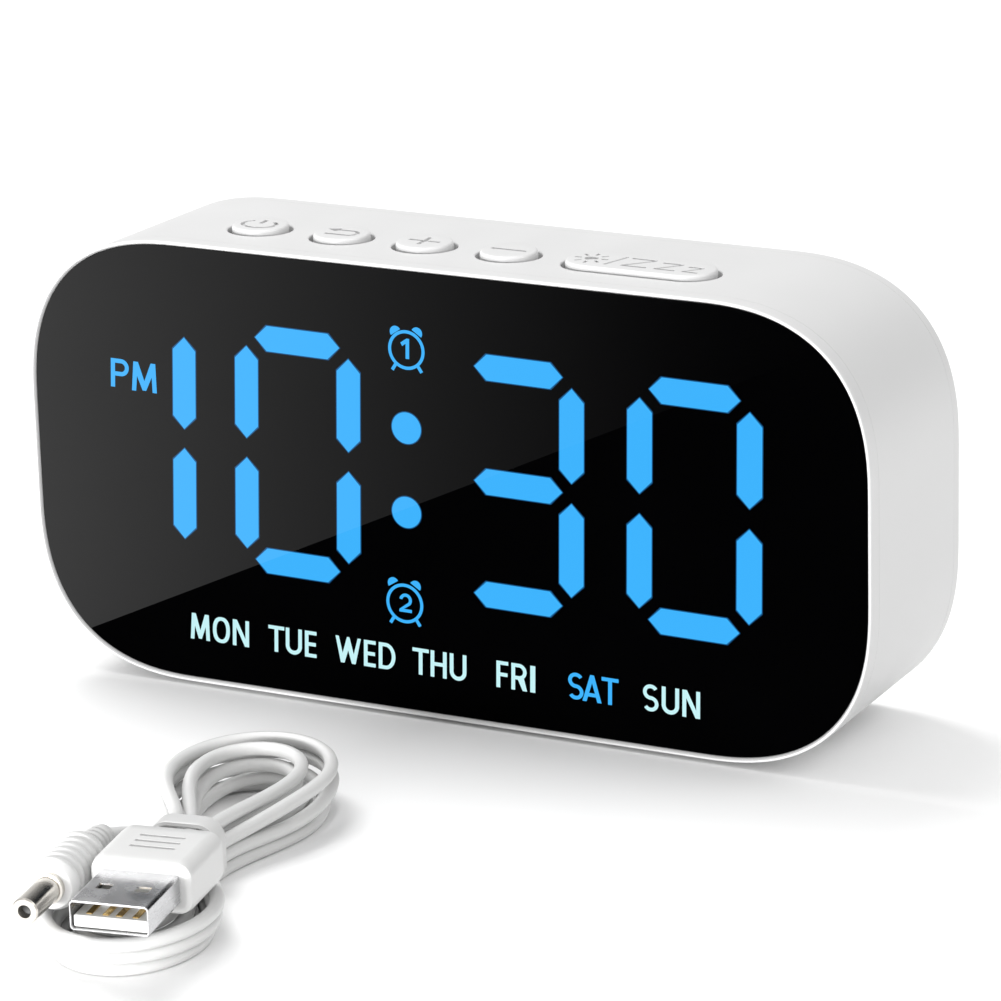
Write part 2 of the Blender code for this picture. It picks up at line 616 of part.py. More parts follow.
def make_cells():
    """Three backup cells side by side, each turned round from the next, with contacts and springs."""
    half = CELL_LENGTH / 2
    profile = [(0, half), (1.9, half), (1.9, half - 1.0), (4.6, half - 1.0), (CELL_RADIUS, half - 1.6),
               (CELL_RADIUS, 0.4 - half), (4.7, -half), (0, -half)]
    sides = (1, -1, 1)
    shift = 2.6
    for number, side in enumerate(sides, start=1):
        cell = turned("cell", profile)
        z = BAY_Z + (number - 2) * CELL_PITCH
        cell.location = Vector((BAY_X + side * shift, front(CELL_DEPTH), z)) * MM
        cell.rotation_euler = (0, side * math.pi / 2, 0)
        piece(cell, f"backup_cell_{number}", "cell_wrap")
    wall = BAY_HALF_X - GAP
    spans = {"battery_contact_1": (1, (3,), 0), "battery_contact_2": (1, (1, 2), 2),
             "battery_contact_3": (-1, (1,), 1), "battery_contact_4": (-1, (2, 3), 3)}
    for name, (side, numbers, spring_number) in spans.items():
        z_mid = [BAY_Z + (number - 2) * CELL_PITCH for number in numbers]
        faces = sorted((BAY_X + side * wall, BAY_X + side * (wall - 0.4)))
        contact = depth_box("contact", faces, (CELL_DEPTH - 4.2, CELL_DEPTH + 4.2),
                            (z_mid[0] - 4.5, z_mid[-1] + 4.5))
        if spring_number:
            z = BAY_Z + (spring_number - 2) * CELL_PITCH
            turns, steps, length = 3.5, 9, 4.3
            route = []
            for step in range(int(turns * steps) + 1):
                share = step / (turns * steps)
                angle = 2 * math.pi * step / steps
                radius = 3.4 - 1.2 * share
                x = BAY_X + side * (wall - 0.5 - length * share)
                route.append((x, front(CELL_DEPTH) + radius * math.cos(angle), z + radius * math.sin(angle)))
            boolean(contact, tube("spring", route, 0.7), "UNION")
        piece(contact, name, "nickel")


def make_jack_and_buzzer():
    """The power socket on its small board, the buzzer disc and the lead between the boards."""
    body = depth_box("jack", (JACK_X - 4.5, JACK_X + 4.5), (22.5, 33.3), (JACK_Z - 4.4, JACK_Z + 4.4))
    nose = lying("nose", 3.5, JACK_X, JACK_Z, 32.0, DEPTH - 0.2, 24)
    boolean(body, nose, "UNION")
    bore = plate("bore", [circle((JACK_X, JACK_Z), 2.15, 20), circle((JACK_X, JACK_Z), 0.65, 10)], 26.0,
                 DEPTH + 1)
    boolean(body, bore, "DIFFERENCE")
    pin_end = lying("pin_end", 1.2, JACK_X, JACK_Z, DEPTH - 1.2, DEPTH + 1, 10)
    boolean(body, pin_end, "DIFFERENCE")
    piece(body, "dc_jack", "black_plastic")
    board = depth_box("board", (JACK_X - 11, JACK_X + 11), (21.5, 33.3), (JACK_Z - 5.9, JACK_Z - 4.7))
    piece(board, "power_board", "board_green")
    buzzer = turned("buzzer", [(0, 2.0), (BUZZER_RADIUS - 0.6, 2.0), (BUZZER_RADIUS, 1.4),
                               (BUZZER_RADIUS, -1.9), (0, -1.9)], 28)
    buzzer.location = Vector((BUZZER_X, front(31.4), BUZZER_Z)) * MM
    buzzer.rotation_euler = (-math.pi / 2, 0, 0)
    piece(buzzer, "buzzer", "black_plastic")
    route = [(JACK_X - 6, front(24.0), JACK_Z - 3.5), (JACK_X - 8, front(20.5), JACK_Z - 1.5),
             (JACK_X - 12, front(16.5), JACK_Z + 1), (JACK_X - 15, front(13.0), JACK_Z + 4),
             (JACK_X - 16, front(BOARD_BACK + 0.8), JACK_Z + 6)]
    piece(tube("wire", smooth_route(route, 3.0), 1.6), "dc_wire", "wire_red")


def make_keys():
    """The key board with its tact switches, the plungers, and the caps that press them."""
    under = KEY_BOARD_TOP - KEY_BOARD_THICK
    board = depth_box("keys", KEY_BOARD_X, KEY_BOARD_DEPTHS, (under, KEY_BOARD_TOP))
    holes = [upright("hole", 1.6, x, d, under - 1, KEY_BOARD_TOP + 1, 12) for x, d in KEY_POSTS]
    boolean(board, merged("board_holes", holes), "DIFFERENCE")
    piece(board, "key_board", "board_green")
    profile = [(0, 5.5), (1.1, 5.2), (1.1, 0), (2.3, 0), (2.3, -1.2), (1.9, -1.5), (0, -1.5)]
    for number, (x, d) in enumerate(KEY_POSTS, start=1):
        screw = turned("screw", profile, 12)
        screw.location = Vector((x, front(d), under - GAP)) * MM
        piece(screw, f"key_board_screw_{number}", "steel")

    cap_bottom = KEY_PLANE - WALL - GAP - 0.2 - FLANGE_HEIGHT
    plunger_top = KEY_BOARD_TOP + GAP + SWITCH_HEIGHT + 0.8
    centres = list(ROUND_KEYS.items()) + [(LONG_KEY, LONG_KEY_X)]
    for number, (name, x) in enumerate(centres, start=1):
        switch_low = KEY_BOARD_TOP + GAP
        half = SWITCH_SIZE / 2
        switch = depth_box("switch", (x - half, x + half), (KEY_DEPTH - half, KEY_DEPTH + half),
                           (switch_low, switch_low + SWITCH_HEIGHT))
        socket = upright("socket", PLUNGER_RADIUS + GAP, x, KEY_DEPTH, switch_low + 0.5, switch_low + 5, 16)
        boolean(switch, socket, "DIFFERENCE")
        piece(switch, f"tact_switch_{number}", "black_plastic")
        plunger = turned("plunger", [(0, 0), (1.5, 0), (PLUNGER_RADIUS, -0.2),
                                     (PLUNGER_RADIUS, -PLUNGER_HEIGHT), (0, -PLUNGER_HEIGHT)], 16)
        plunger.location = Vector((x, front(KEY_DEPTH), plunger_top)) * MM
        piece(plunger, f"switch_plunger_{number}", "reflector_white")

        stem_low = plunger_top + GAP - KEY_PLANE
        flange_low, flange_high = cap_bottom - KEY_PLANE, cap_bottom + FLANGE_HEIGHT - KEY_PLANE
        place = Vector((x, front(KEY_DEPTH), KEY_PLANE)) * MM
        radius = KEY_HOLE - KEY_GAP
        if name == LONG_KEY:
            cap = make_long_cap(radius, flange_low, flange_high, stem_low)
        else:
            flange = KEY_HOLE + FLANGE_EXTRA
            cap = turned("cap", [(0, KEY_PROUD), (radius - 0.6, KEY_PROUD), (radius - 0.2, KEY_PROUD - 0.2),
                                 (radius, KEY_PROUD - 0.6), (radius, flange_high), (flange, flange_high),
                                 (flange, flange_low), (2.0, flange_low), (2.0, stem_low), (0, stem_low)], 32)
        cap.location = place
        piece(cap, name, "key_white")


def make_long_cap(radius, flange_low, flange_high, stem_low):
    """The long key: stacked slot outlines with a round top edge, a flange and a middle stem."""
    length = LONG_KEY_LENGTH - 2 * KEY_GAP
    levels = [(KEY_PROUD, -0.6), (KEY_PROUD - 0.2, -0.2), (KEY_PROUD - 0.6, 0), (flange_high, 0),
              (flange_high, KEY_GAP + FLANGE_EXTRA), (flange_low, KEY_GAP + FLANGE_EXTRA)]
    rings = []
    for z, grow in levels:
        points = stadium((0, 0), length + 2 * grow, 2 * (radius + grow), 14)
        rings.append([(px, py, z) for px, py in points])
    cap = loft("long_cap", rings)
    boolean(cap, cylinder("stem", 2.0, (0, 0, flange_low + 0.5), (0, 0, stem_low), steps=16), "UNION")
    cap = baked(cap)
    return cap


def make_ribbon():
    """The flat cable between the display board and the key board."""
    path = [(BOARD_BACK + GAP, 50.0), (12.0, 50.6), (14.6, 52.4), (16.4, 55.4), (17.0, 59.0), (17.0, 63.7)]
    bm = bmesh.new()
    rows = [[bm.verts.new((x, front(d), z)) for d, z in path] for x in (-6.0, 6.0)]
    edges = [[bm.edges.new(pair) for pair in zip(row, row[1:])] for row in rows]
    bmesh.ops.bridge_loops(bm, edges=edges[0] + edges[1])
    ribbon = object_from_bmesh("ribbon", bm)
    solid = ribbon.modifiers.new("thickness", "SOLIDIFY")
    solid.thickness = 0.5 * MM
    solid.offset = 0.0
    piece(ribbon, "key_ribbon", "ribbon_grey")


# ---------------------------------------------------------------- power lead

def hank_half_width(x):
    """Half width of the tied hank at x: two round loops and a waist, blended."""
    total = 0.0
    for centre, reach, half in (FAR_LOOP, NEAR_LOOP):
        share = 1 - ((x - centre) / reach) ** 2
        total += (half * math.sqrt(share)) ** 4 if share > 0 else 0.0
    if FAR_LOOP[0] < x < NEAR_LOOP[0]:
        total += WAIST ** 4
    return total ** 0.25


def hank_outline():
    """Points around the hank, crowded towards its two round ends."""
    start, end = FAR_LOOP[0] - FAR_LOOP[1], NEAR_LOOP[0] + NEAR_LOOP[1]
    steps = 26
    xs = [(start + end) / 2 - (end - start) / 2 * math.cos(math.pi * step / steps)
          for step in range(1, steps)]
    right = [(x, hank_half_width(x)) for x in xs]
    left = [(x, -hank_half_width(x)) for x in reversed(xs)]
    return [(start, 0)] + right + [(end, 0)] + left


def make_cable():
    """The tied power lead on the table: hank, tie, both short leads and both plugs."""
    frame = bpy.data.objects.new("cable_frame", None)
    frame.location = Vector((*CABLE_CENTRE, 0)) * MM
    frame.rotation_euler = (0, 0, CABLE_ANGLE)
    CUTTERS.objects.link(frame)

    hank = loft("hank", [[(x, y, z) for x, y in hank_outline()] for z in (0.0, HANK_HEIGHT)])
    eyes = []
    for centre, reach, half in EYES:
        ring = [(centre + reach * x, half * y) for x, y in circle((0, 0), 1.0)]
        eyes.append(loft("eye", [[(x, y, z) for x, y in ring] for z in (-1.0, HANK_HEIGHT + 1)]))
    boolean(hank, merged("eyes", eyes), "DIFFERENCE")
    groove = TIE_THICK + 2 * GAP
    x_low, x_high = TIE_X - TIE_HALF_WIDTH - GAP, TIE_X + TIE_HALF_WIDTH + GAP
    core_y = WAIST - 0.6
    slabs = [((x_low, -20, -1), (x_high, 20, groove)), ((x_low, -20, HANK_HEIGHT - 0.4), (x_high, 20, 9)),
             ((x_low, -20, -1), (x_high, -core_y, 9)), ((x_low, core_y, -1), (x_high, 20, 9))]
    for number, (low, high) in enumerate(slabs, start=1):
        boolean(hank, box("slab", low, high), "DIFFERENCE").modifiers[-1].name = f"slab_{number}"
    tie_y = core_y + GAP + TIE_THICK
    tie = box("tie", (TIE_X - TIE_HALF_WIDTH, -tie_y, 0.0), (TIE_X + TIE_HALF_WIDTH, tie_y, TIE_TOP))
    tie_y -= TIE_THICK
    inner = box("tie_inner", (TIE_X - 9, -tie_y, TIE_THICK), (TIE_X + 9, tie_y, TIE_TOP - TIE_THICK))
    boolean(tie, inner, "DIFFERENCE")
    shapes = [(baked(hank), "cable_hank", "cable_white"), (baked(tie), "cable_tie", "plug_white"),
              (tube("lead", smooth_route(PLUG_LEAD, 2.5 * CORD), CORD), "plug_lead", "cable_white"),
              (tube("lead", smooth_route(USB_LEAD, 2.5 * CORD), CORD), "usb_lead", "cable_white")]

    plug = turned("plug", [(0, PLUG_LENGTH), (3.2, PLUG_LENGTH), (3.8, PLUG_LENGTH - 0.6), (4.2, 9.0),
                           (3.1, 8.0), (1.8, 0), (0, 0)])
    plug.location = Vector((PLUG_START, PLUG_Y, PLUG_Z)) * MM
    plug.rotation_euler = (0, math.pi / 2, 0)
    tip = turned("tip", [(0.85, 9.3), (0.95, 9.5), (1.9, 9.5), (2.0, 9.3), (2.0, 0), (0, 0), (0, 1.5),
                         (0.85, 1.5), (0.85, 9.3)], 20)
    tip.location = Vector((PLUG_START + PLUG_LENGTH + GAP, PLUG_Y, PLUG_Z)) * MM
    tip.rotation_euler = (0, math.pi / 2, 0)
    shapes += [(baked(plug), "barrel_plug", "plug_white"), (baked(tip), "barrel_tip", "nickel")]

    sections = [(0, 1.7, 1.7, 1.6), (3.6, 2.6, 2.4, 2.2), (4.0, 7.0, 3.4, 2.0), (5.0, 7.8, 4.0, 2.0),
                (USB_LENGTH - 1.2, 7.8, 4.0, 2.0), (USB_LENGTH, 7.2, 3.6, 2.0)]
    rings = []
    for x, half_y, half_z, round_by in sections:
        loop = rounded_rectangle((USB_Y, USB_Z), half_y, half_z, round_by)
        rings.append([(USB_START + x, y, z) for y, z in loop])
    body = loft("usb", rings)
    start = USB_START + USB_LENGTH + GAP
    shell = box("shell", (start, USB_Y - 6.0, USB_Z - 2.25), (start + 12.0, USB_Y + 6.0, USB_Z + 2.25))
    mouth = box("mouth", (start + 1.5, USB_Y - 5.6, USB_Z - 0.1), (start + 14, USB_Y + 5.6, USB_Z + 1.9))
    boolean(shell, mouth, "DIFFERENCE")
    shapes += [(body, "usb_plug", "plug_white"), (baked(shell), "usb_shell", "steel")]
    for shape, name, material_name in shapes:
        piece(shape, name, material_name, frame)


def main():
    clear_scene()
    make_front_frame()
    make_lens_and_mask()
    make_display()
    make_main_shell()
    make_rear_cover()
    make_battery_door()
    make_cells()
    make_jack_and_buzzer()
    make_keys()
    make_ribbon()
    make_cable()


main()
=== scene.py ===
"""Looks of the digital alarm clock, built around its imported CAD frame.

Lengths are in millimetres until MM turns them into metres. X runs right along the clock, Y from front to
back, Z up. A depth is measured behind the front face.
"""
import math

import bmesh
import bpy
from mathutils import Matrix, Vector


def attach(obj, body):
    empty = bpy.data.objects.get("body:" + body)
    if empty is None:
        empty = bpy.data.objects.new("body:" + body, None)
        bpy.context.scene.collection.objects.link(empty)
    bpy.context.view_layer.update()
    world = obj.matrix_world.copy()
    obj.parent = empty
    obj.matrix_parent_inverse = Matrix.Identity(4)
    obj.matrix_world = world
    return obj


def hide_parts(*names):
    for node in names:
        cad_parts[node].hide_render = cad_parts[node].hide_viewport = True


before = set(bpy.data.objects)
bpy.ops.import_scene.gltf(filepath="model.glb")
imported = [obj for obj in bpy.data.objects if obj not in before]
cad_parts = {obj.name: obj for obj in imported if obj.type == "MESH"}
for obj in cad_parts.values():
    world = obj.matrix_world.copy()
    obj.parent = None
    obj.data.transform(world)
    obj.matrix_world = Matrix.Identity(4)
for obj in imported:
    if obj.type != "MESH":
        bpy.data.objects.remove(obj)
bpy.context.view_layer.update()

MM = 0.001
DEPTH = 36.0
WIDTH, HEIGHT, FOOT_RISE = 150.0, 75.0, 0.6
MID_Z, TOP_Z = FOOT_RISE + HEIGHT / 2, FOOT_RISE + HEIGHT
CORNER, CORNER_POWER, CORNER_STEPS = 29.0, 2.5, 34
TOP_FALL = 0.031                # fall of the top towards the back for each millimetre of depth
WALL, RIM, LIP = 2.0, 0.70, 0.45
EDGE_DEPTH, EDGE_SLOPE, EDGE_INSET = 0.55, 0.02, 0.22
LENS_FRONT, LENS_BACK, LEDGE_FRONT, LEDGE_INSET = 0.5, 1.7, 1.95, 3.95
# The seams: depths of the faces that meet, and their softened edge as (distance from the face, inset)
RING_BACK, SLEEVE_FRONT, SLEEVE_BACK, COVER_FRONT = 3.17, 3.19, 33.5, 33.52
SEAM_EDGE = ((0.0, 0.03), (0.01, 0.008), (0.04, 0.0))
SKIRT_OUTSIDE, SKIRT_INSIDE = 2.3, 3.7      # insets of the skirts that plug into the sleeve


# ---------------------------------------------------------------- mesh helpers

def new_object(name, mesh):
    """An object for a mesh, in the scene, at the origin."""
    item = bpy.data.objects.new(name, mesh)
    bpy.context.scene.collection.objects.link(item)
    return item


def from_bmesh(name, bm, tidy=True):
    """An object for a bmesh whose coordinates are in millimetres."""
    if tidy:
        bmesh.ops.recalc_face_normals(bm, faces=bm.faces)
    bmesh.ops.scale(bm, vec=(MM, MM, MM), verts=bm.verts)
    mesh = bpy.data.meshes.new(name)
    bm.to_mesh(mesh)
    bm.free()
    return new_object(name, mesh)


def loft(name, rings, closed=False):
    """Join rings of equally many points. A closed loft returns to its first ring, others are capped."""
    bm = bmesh.new()
    loops = [[bm.verts.new(point) for point in ring] for ring in rings]
    pairs = list(zip(loops, loops[1:]))
    if closed:
        pairs.append((loops[-1], loops[0]))
    for first, second in pairs:
        for i in range(len(first)):
            bm.faces.new((first[i - 1], first[i], second[i], second[i - 1]))
    if not closed:
        bm.faces.new(loops[0])
        bm.faces.new(loops[-1])
    return from_bmesh(name, bm)


def lathe(name, profile, steps=64):
    """A shape turned about local Z. Its profile (radius, z) starts and ends on the axis, or is closed."""
    bm = bmesh.new()
    rings = []
    for radius, z in profile:
        if radius < 1e-6:
            rings.append([bm.verts.new((0, 0, z))] * steps)
        else:
            angles = [2 * math.pi * i / steps for i in range(steps)]
            rings.append([bm.verts.new((radius * math.cos(a), radius * math.sin(a), z)) for a in angles])
    pairs = list(zip(rings, rings[1:]))
    if profile[0][0] > 1e-6:
        pairs.append((rings[-1], rings[0]))
    for first, second in pairs:
        for i in range(steps):
            corners = []
            for vert in (first[i - 1], first[i], second[i], second[i - 1]):
                if vert not in corners:
                    corners.append(vert)
            if len(corners) > 2:
                bm.faces.new(corners)
    return from_bmesh(name, bm)


def move(item, matrix):
    """Bake a placement in millimetres into the mesh, so that the object stays at the origin."""
    placed = matrix.copy()
    placed.translation *= MM
    item.data.transform(placed)
    return item


def at(x, y, z, turn=None):
    """A placement: a turn, then a shift."""
    return Matrix.Translation((x, y, z)) @ (turn if turn is not None else Matrix.Identity(4))


def turned(angle, axis):
    """A turn by an angle in degrees about an axis letter."""
    return Matrix.Rotation(math.radians(angle), 4, axis)


def join(name, shapes):
    """Several shapes as one mesh."""
    bm = bmesh.new()
    for shape in shapes:
        bm.from_mesh(shape.data)
        bpy.data.objects.remove(shape, do_unlink=True)
    mesh = bpy.data.meshes.new(name)
    bm.to_mesh(mesh)
    bm.free()
    return new_object(name, mesh)


def evaluated(item):
    """The mesh of an object with its modifiers, or of a curve."""
    bpy.context.view_layer.update()
    graph = bpy.context.evaluated_depsgraph_get()
    return bpy.data.meshes.new_from_object(item.evaluated_get(graph))


def boolean(target, operation, tools):
    """Apply exact Booleans, one tool after the other, and remove the tools."""
    for tool in tools:
        modifier = target.modifiers.new("boolean", "BOOLEAN")
        modifier.operation = operation
        modifier.solver = "EXACT"
        modifier.object = tool
    mesh = evaluated(target)
    target.modifiers.clear()
    target.data = mesh
    for tool in tools:
        bpy.data.objects.remove(tool, do_unlink=True)


def cut(target, *tools):
    """Take the tools away from the target."""
    boolean(target, "DIFFERENCE", tools)


def weld(target, *tools):
    """Add the tools to the target."""
    boolean(target, "UNION", tools)


def piece(item, name, body, finish, stands_for=(), smooth=32, weighted=True):
    """Name a finished mesh, give it its material and let it ride on its CAD body."""
    item.name = name
    item.data.name = name
    item.data.materials.clear()
    item.data.materials.append(MATERIALS[finish])
    item.data.shade_smooth()
    item.data.set_sharp_from_angle(angle=math.radians(smooth))
    if weighted:
        normals = item.modifiers.new("normals", "WEIGHTED_NORMAL")
        normals.keep_sharp = True
        normals.weight = 80
    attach(item, body)
    if stands_for:
        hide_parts(*stands_for)
    return item


# ---------------------------------------------------------------- outlines

def front(depth):
    """World Y of a depth behind the front face."""
    return depth - DEPTH / 2


def outline(inset=0.0, top_drop=0.0):
    """Points (x, z) around the housing, moved in by inset, with the top lowered further by top_drop."""
    half_width = WIDTH / 2 - inset
    low, high = FOOT_RISE + inset, TOP_Z - inset - top_drop
    radius = CORNER - inset
    centres = ((half_width - radius, high - radius), (radius - half_width, high - radius),
               (radius - half_width, low + radius), (half_width - radius, low + radius))
    points = []
    for quarter, (cx, cz) in enumerate(centres):
        for step in range(CORNER_STEPS + 1):
            angle = math.pi / 2 * step / CORNER_STEPS
            u = radius * math.cos(angle) ** (2 / CORNER_POWER)
            v = radius * math.sin(angle) ** (2 / CORNER_POWER)
            for _ in range(quarter):
                u, v = -v, u
            points.append((cx + u, cz + v))
    return points


def level_ring(loop, z):
    """An outline (x, y) at a height."""
    return [(x, y, z) for x, y in loop]


def upright_ring(loop, depth):
    """An outline (x, z) at a depth."""
    return [(x, front(depth), z) for x, z in loop]


def housing_loft(name, sections, closed=False):
    """Loft through copies of the housing outline, each section being (depth, inset)."""
    rings = [upright_ring(outline(inset, TOP_FALL * depth), depth) for depth, inset in sections]
    return loft(name, rings, closed)


def quarter_round(radius, steps):
    """(forward, sideways) pairs from (radius, 0) to (0, radius) along a quarter of a circle."""
    angles = [math.pi / 2 * i / steps for i in range(steps + 1)]
    return [(radius * (1 - math.sin(a)), radius * (1 - math.cos(a))) for a in angles]


def circle(cx, cy, radius, steps=48):
    """Points around a circle."""
    angles = [2 * math.pi * i / steps for i in range(steps)]
    return [(cx + radius * math.cos(a), cy + radius * math.sin(a)) for a in angles]


def stadium(length, width, steps=28):
    """Points around a slot with round ends, centred, long in X."""
    radius, reach = width / 2, (length - width) / 2
    points = []
    for side in (1, -1):
        for i in range(steps + 1):
            angle = math.pi * i / steps - math.pi / 2
            points.append((side * (reach + radius * math.cos(angle)), side * radius * math.sin(angle)))
    return points


def rounded_rectangle(cx, cy, half_x, half_y, radius, steps=8):
    """Points around a rectangle with round corners."""
    points = []
    for quarter in range(4):
        for i in range(steps + 1):
            angle = math.pi / 2 * (quarter + i / steps)
            sx, sy = (1, -1, -1, 1)[quarter], (1, 1, -1, -1)[quarter]
            points.append((cx + sx * (half_x - radius) + radius * math.cos(angle),
                           cy + sy * (half_y - radius) + radius * math.sin(angle)))
    return points


def thick_line(points, width):
    """The outline of a line of some width through points, with square ends."""
    line = [Vector(p) for p in points]
    left, right = [], []
    for i, p in enumerate(line):
        before = (p - line[i - 1]).normalized() if i else None
        after = (line[i + 1] - p).normalized() if i < len(line) - 1 else None
        along = ((before or after) + (after or before)).normalized()
        across = Vector((-along.y, along.x))
        reach = width / 2 / max(0.4, across.dot(Vector((-(after or before).y, (after or before).x))))
        left.append(tuple(p + across * reach))
        right.append(tuple(p - across * reach))
    return left + right[::-1]


def arc(cx, cy, radius, start, end, steps=24):
    """Points along part of a circle, between two angles in degrees."""
    angles = [math.radians(start + (end - start) * i / steps) for i in range(steps + 1)]
    return [(cx + radius * math.cos(a), cy + radius * math.sin(a)) for a in angles]


def prism(name, loop, low, high):
    """A solid above an outline in the XY plane."""
    return loft(name, [level_ring(loop, z) for z in (low, high)])


def plate(name, loops, depth_front, depth_back):
    """A closed flat plate parallel to the front face. Loops inside the first one of a shape are holes."""
    data = bpy.data.curves.new(name, "CURVE")
    data.dimensions = "2D"
    data.fill_mode = "BOTH"
    data.extrude = (depth_back - depth_front) / 2
    for loop in loops:
        spline = data.splines.new("POLY")
        spline.points.add(len(loop) - 1)
        for point, (x, z) in zip(spline.points, loop):
            point.co = (x, z, 0.0, 1.0)
        spline.use_cyclic_u = True
    source = new_object(name, data)
    mesh = evaluated(source)
    bpy.data.objects.remove(source, do_unlink=True)
    bm = bmesh.new()
    bm.from_mesh(mesh)
    bmesh.ops.remove_doubles(bm, verts=bm.verts, dist=1e-4)
    place = at(0, front((depth_front + depth_back) / 2), 0, turned(90, "X"))
    bmesh.ops.transform(bm, matrix=place, verts=bm.verts)
    return from_bmesh(name, bm)


def lying_lathe(name, profile, x, z, depth, steps=64):
    """A turned shape whose axis points out of the back of the clock, with local z = 0 at a depth."""
    return move(lathe(name, profile, steps), at(x, front(depth), z, turned(-90, "X")))


def block(name, low, high, radius):
    """A box with rounded upright edges and small chamfers above and below."""
    (x0, y0, z0), (x1, y1, z1) = low, high
    cx, cy, half_x, half_y = (x0 + x1) / 2, (y0 + y1) / 2, (x1 - x0) / 2, (y1 - y0) / 2
    chamfer = radius / 2
    rings = []
    for z, grow in ((z0, -chamfer), (z0 + chamfer, 0), (z1 - chamfer, 0), (z1, -chamfer)):
        rings.append(level_ring(rounded_rectangle(cx, cy, half_x + grow, half_y + grow, radius, 4), z))
    return loft(name, rings)


# ---------------------------------------------------------------- materials

# The CAD's material for looks that exist only here
MATERIALS = {}


def surface(name, colour, roughness, metallic=0.0, grain=0.5, bump=0.15, tint=0.02, polish=0.05,
            stretch=(1, 1, 1), glow=None, **constants):
    """A Principled material with fine relief, whose colour and gloss vary a little over the surface."""
    material = bpy.data.materials.new(name)
    material.use_nodes = True
    tree = material.node_tree
    new, link = tree.nodes.new, tree.links.new
    shader = tree.nodes["Principled BSDF"]
    place = new("ShaderNodeTexCoord")
    mapping = new("ShaderNodeMapping")
    mapping.inputs["Scale"].default_value = stretch
    link(place.outputs["Object"], mapping.inputs["Vector"])

    def noise(size, detail):
        made = new("ShaderNodeTexNoise")
        made.inputs["Scale"].default_value = 1 / (size * MM)
        made.inputs["Detail"].default_value = detail
        link(mapping.outputs["Vector"], made.inputs["Vector"])
        return made.outputs["Fac"]

    def ramp(source, low, high):
        made = new("ShaderNodeValToRGB")
        for element, position, rgb in zip(made.color_ramp.elements, (0.32, 0.68), (low, high)):
            element.position = position
            element.color = (*rgb, 1.0)
        link(source, made.inputs["Fac"])
        return made.outputs["Color"]

    broad, fine = noise(grain * 24, 3.0), noise(grain, 2.0)
    darker, lighter = ([min(1.0, c * (1 + sign * tint)) for c in colour] for sign in (-1, 1))
    link(ramp(broad, darker, lighter), shader.inputs["Base Color"])
    spread = new("ShaderNodeMapRange")
    spread.inputs["From Min"].default_value, spread.inputs["From Max"].default_value = 0.3, 0.7
    spread.inputs["To Min"].default_value = max(0.02, roughness - polish)
    spread.inputs["To Max"].default_value = roughness + polish
    link(fine if grain < 0.2 else broad, spread.inputs["Value"])
    link(spread.outputs["Result"], shader.inputs["Roughness"])
    shader.inputs["Metallic"].default_value = metallic
    relief = new("ShaderNodeBump")
    relief.inputs["Strength"].default_value = bump
    relief.inputs["Distance"].default_value = 0.05 * MM
    link(fine, relief.inputs["Height"])
    link(relief.outputs["Normal"], shader.inputs["Normal"])
    if glow is not None:
        link(ramp(broad, [c * 0.985 for c in glow], glow), shader.inputs["Emission Color"])
        shader.inputs["Emission Strength"].default_value = 1.0
    for socket, value in constants.items():
        shader.inputs[socket.replace("_", " ")].default_value = value
    MATERIALS[name] = material
    return material


def make_materials():
    """Every material, and the frame's own pieces dressed in them."""
    surface("white_abs", (0.585, 0.585, 0.585), 0.38, grain=0.45, bump=0.10, tint=0.006, polish=0.04)
    surface("key_white", (0.58, 0.58, 0.58), 0.33, grain=0.5, bump=0.06, tint=0.005, polish=0.04)
    surface("lens_black", (0.0004, 0.0004, 0.0005), 0.035, grain=0.9, bump=0.004, tint=0.15, polish=0.012)
    surface("mask_film", (0.02, 0.02, 0.02), 0.5, bump=0.2, tint=0.1)
    surface("reflector_white", (0.78, 0.78, 0.75), 0.5, bump=0.2, tint=0.02)
    surface("board_green", (0.015, 0.14, 0.06), 0.42, grain=0.8, bump=0.35, tint=0.25, polish=0.1)
    surface("chip_black", (0.018, 0.018, 0.018), 0.45, grain=0.7, bump=0.4, tint=0.2, polish=0.1)
    surface("black_plastic", (0.022, 0.022, 0.023), 0.42, grain=0.4, bump=0.35, tint=0.15, polish=0.08)
    surface("steel", (0.60, 0.60, 0.61), 0.27, 1.0, grain=0.25, bump=0.25, tint=0.06, stretch=(1, 1, 5))
    surface("nickel", (0.70, 0.67, 0.62), 0.24, 1.0, grain=0.3, bump=0.2, tint=0.06, stretch=(5, 1, 1))
    surface("contact_gold", (0.83, 0.58, 0.22), 0.22, 1.0, grain=0.3, bump=0.15, tint=0.05)
    surface("cell_wrap", (0.06, 0.17, 0.36), 0.3, 0.35, grain=0.6, bump=0.1, tint=0.1, Coat_Weight=0.6)
    surface("foot_rubber", (0.10, 0.10, 0.10), 0.82, grain=0.35, bump=0.7, tint=0.2)
    surface("wire_red", (0.50, 0.02, 0.02), 0.42, grain=0.6, bump=0.15, tint=0.08)
    surface("ribbon_grey", (0.42, 0.42, 0.44), 0.5, grain=0.5, bump=0.5, tint=0.1, stretch=(1, 0.05, 0.05))
    surface("cable_white", (0.62, 0.62, 0.615), 0.46, grain=0.6, bump=0.16, tint=0.012, polish=0.07)
    surface("plug_white", (0.62, 0.62, 0.615), 0.36, grain=0.5, bump=0.14, tint=0.01, polish=0.06)
    surface("port_white", (0.75, 0.75, 0.73), 0.5, grain=0.4, bump=0.2, tint=0.03)
    black = (0.0, 0.0, 0.0)
    surface("lit_blue", black, 0.04, grain=1.5, bump=0.004, glow=(0.051, 0.462, 1.0))
    # lit_edge is a painted glow: a dim blue fringe of light drawn round each lit bar
    surface("lit_edge", black, 0.04, grain=1.5, bump=0.004, glow=(0.012, 0.10, 0.26))
    surface("lit_ice", black, 0.04, grain=1.5, bump=0.004, glow=(0.58, 0.905, 0.94))
    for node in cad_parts.values():
        name = node.data.materials[0].name.split(".")[0]
        node.material_slots[0].material = MATERIALS[name]


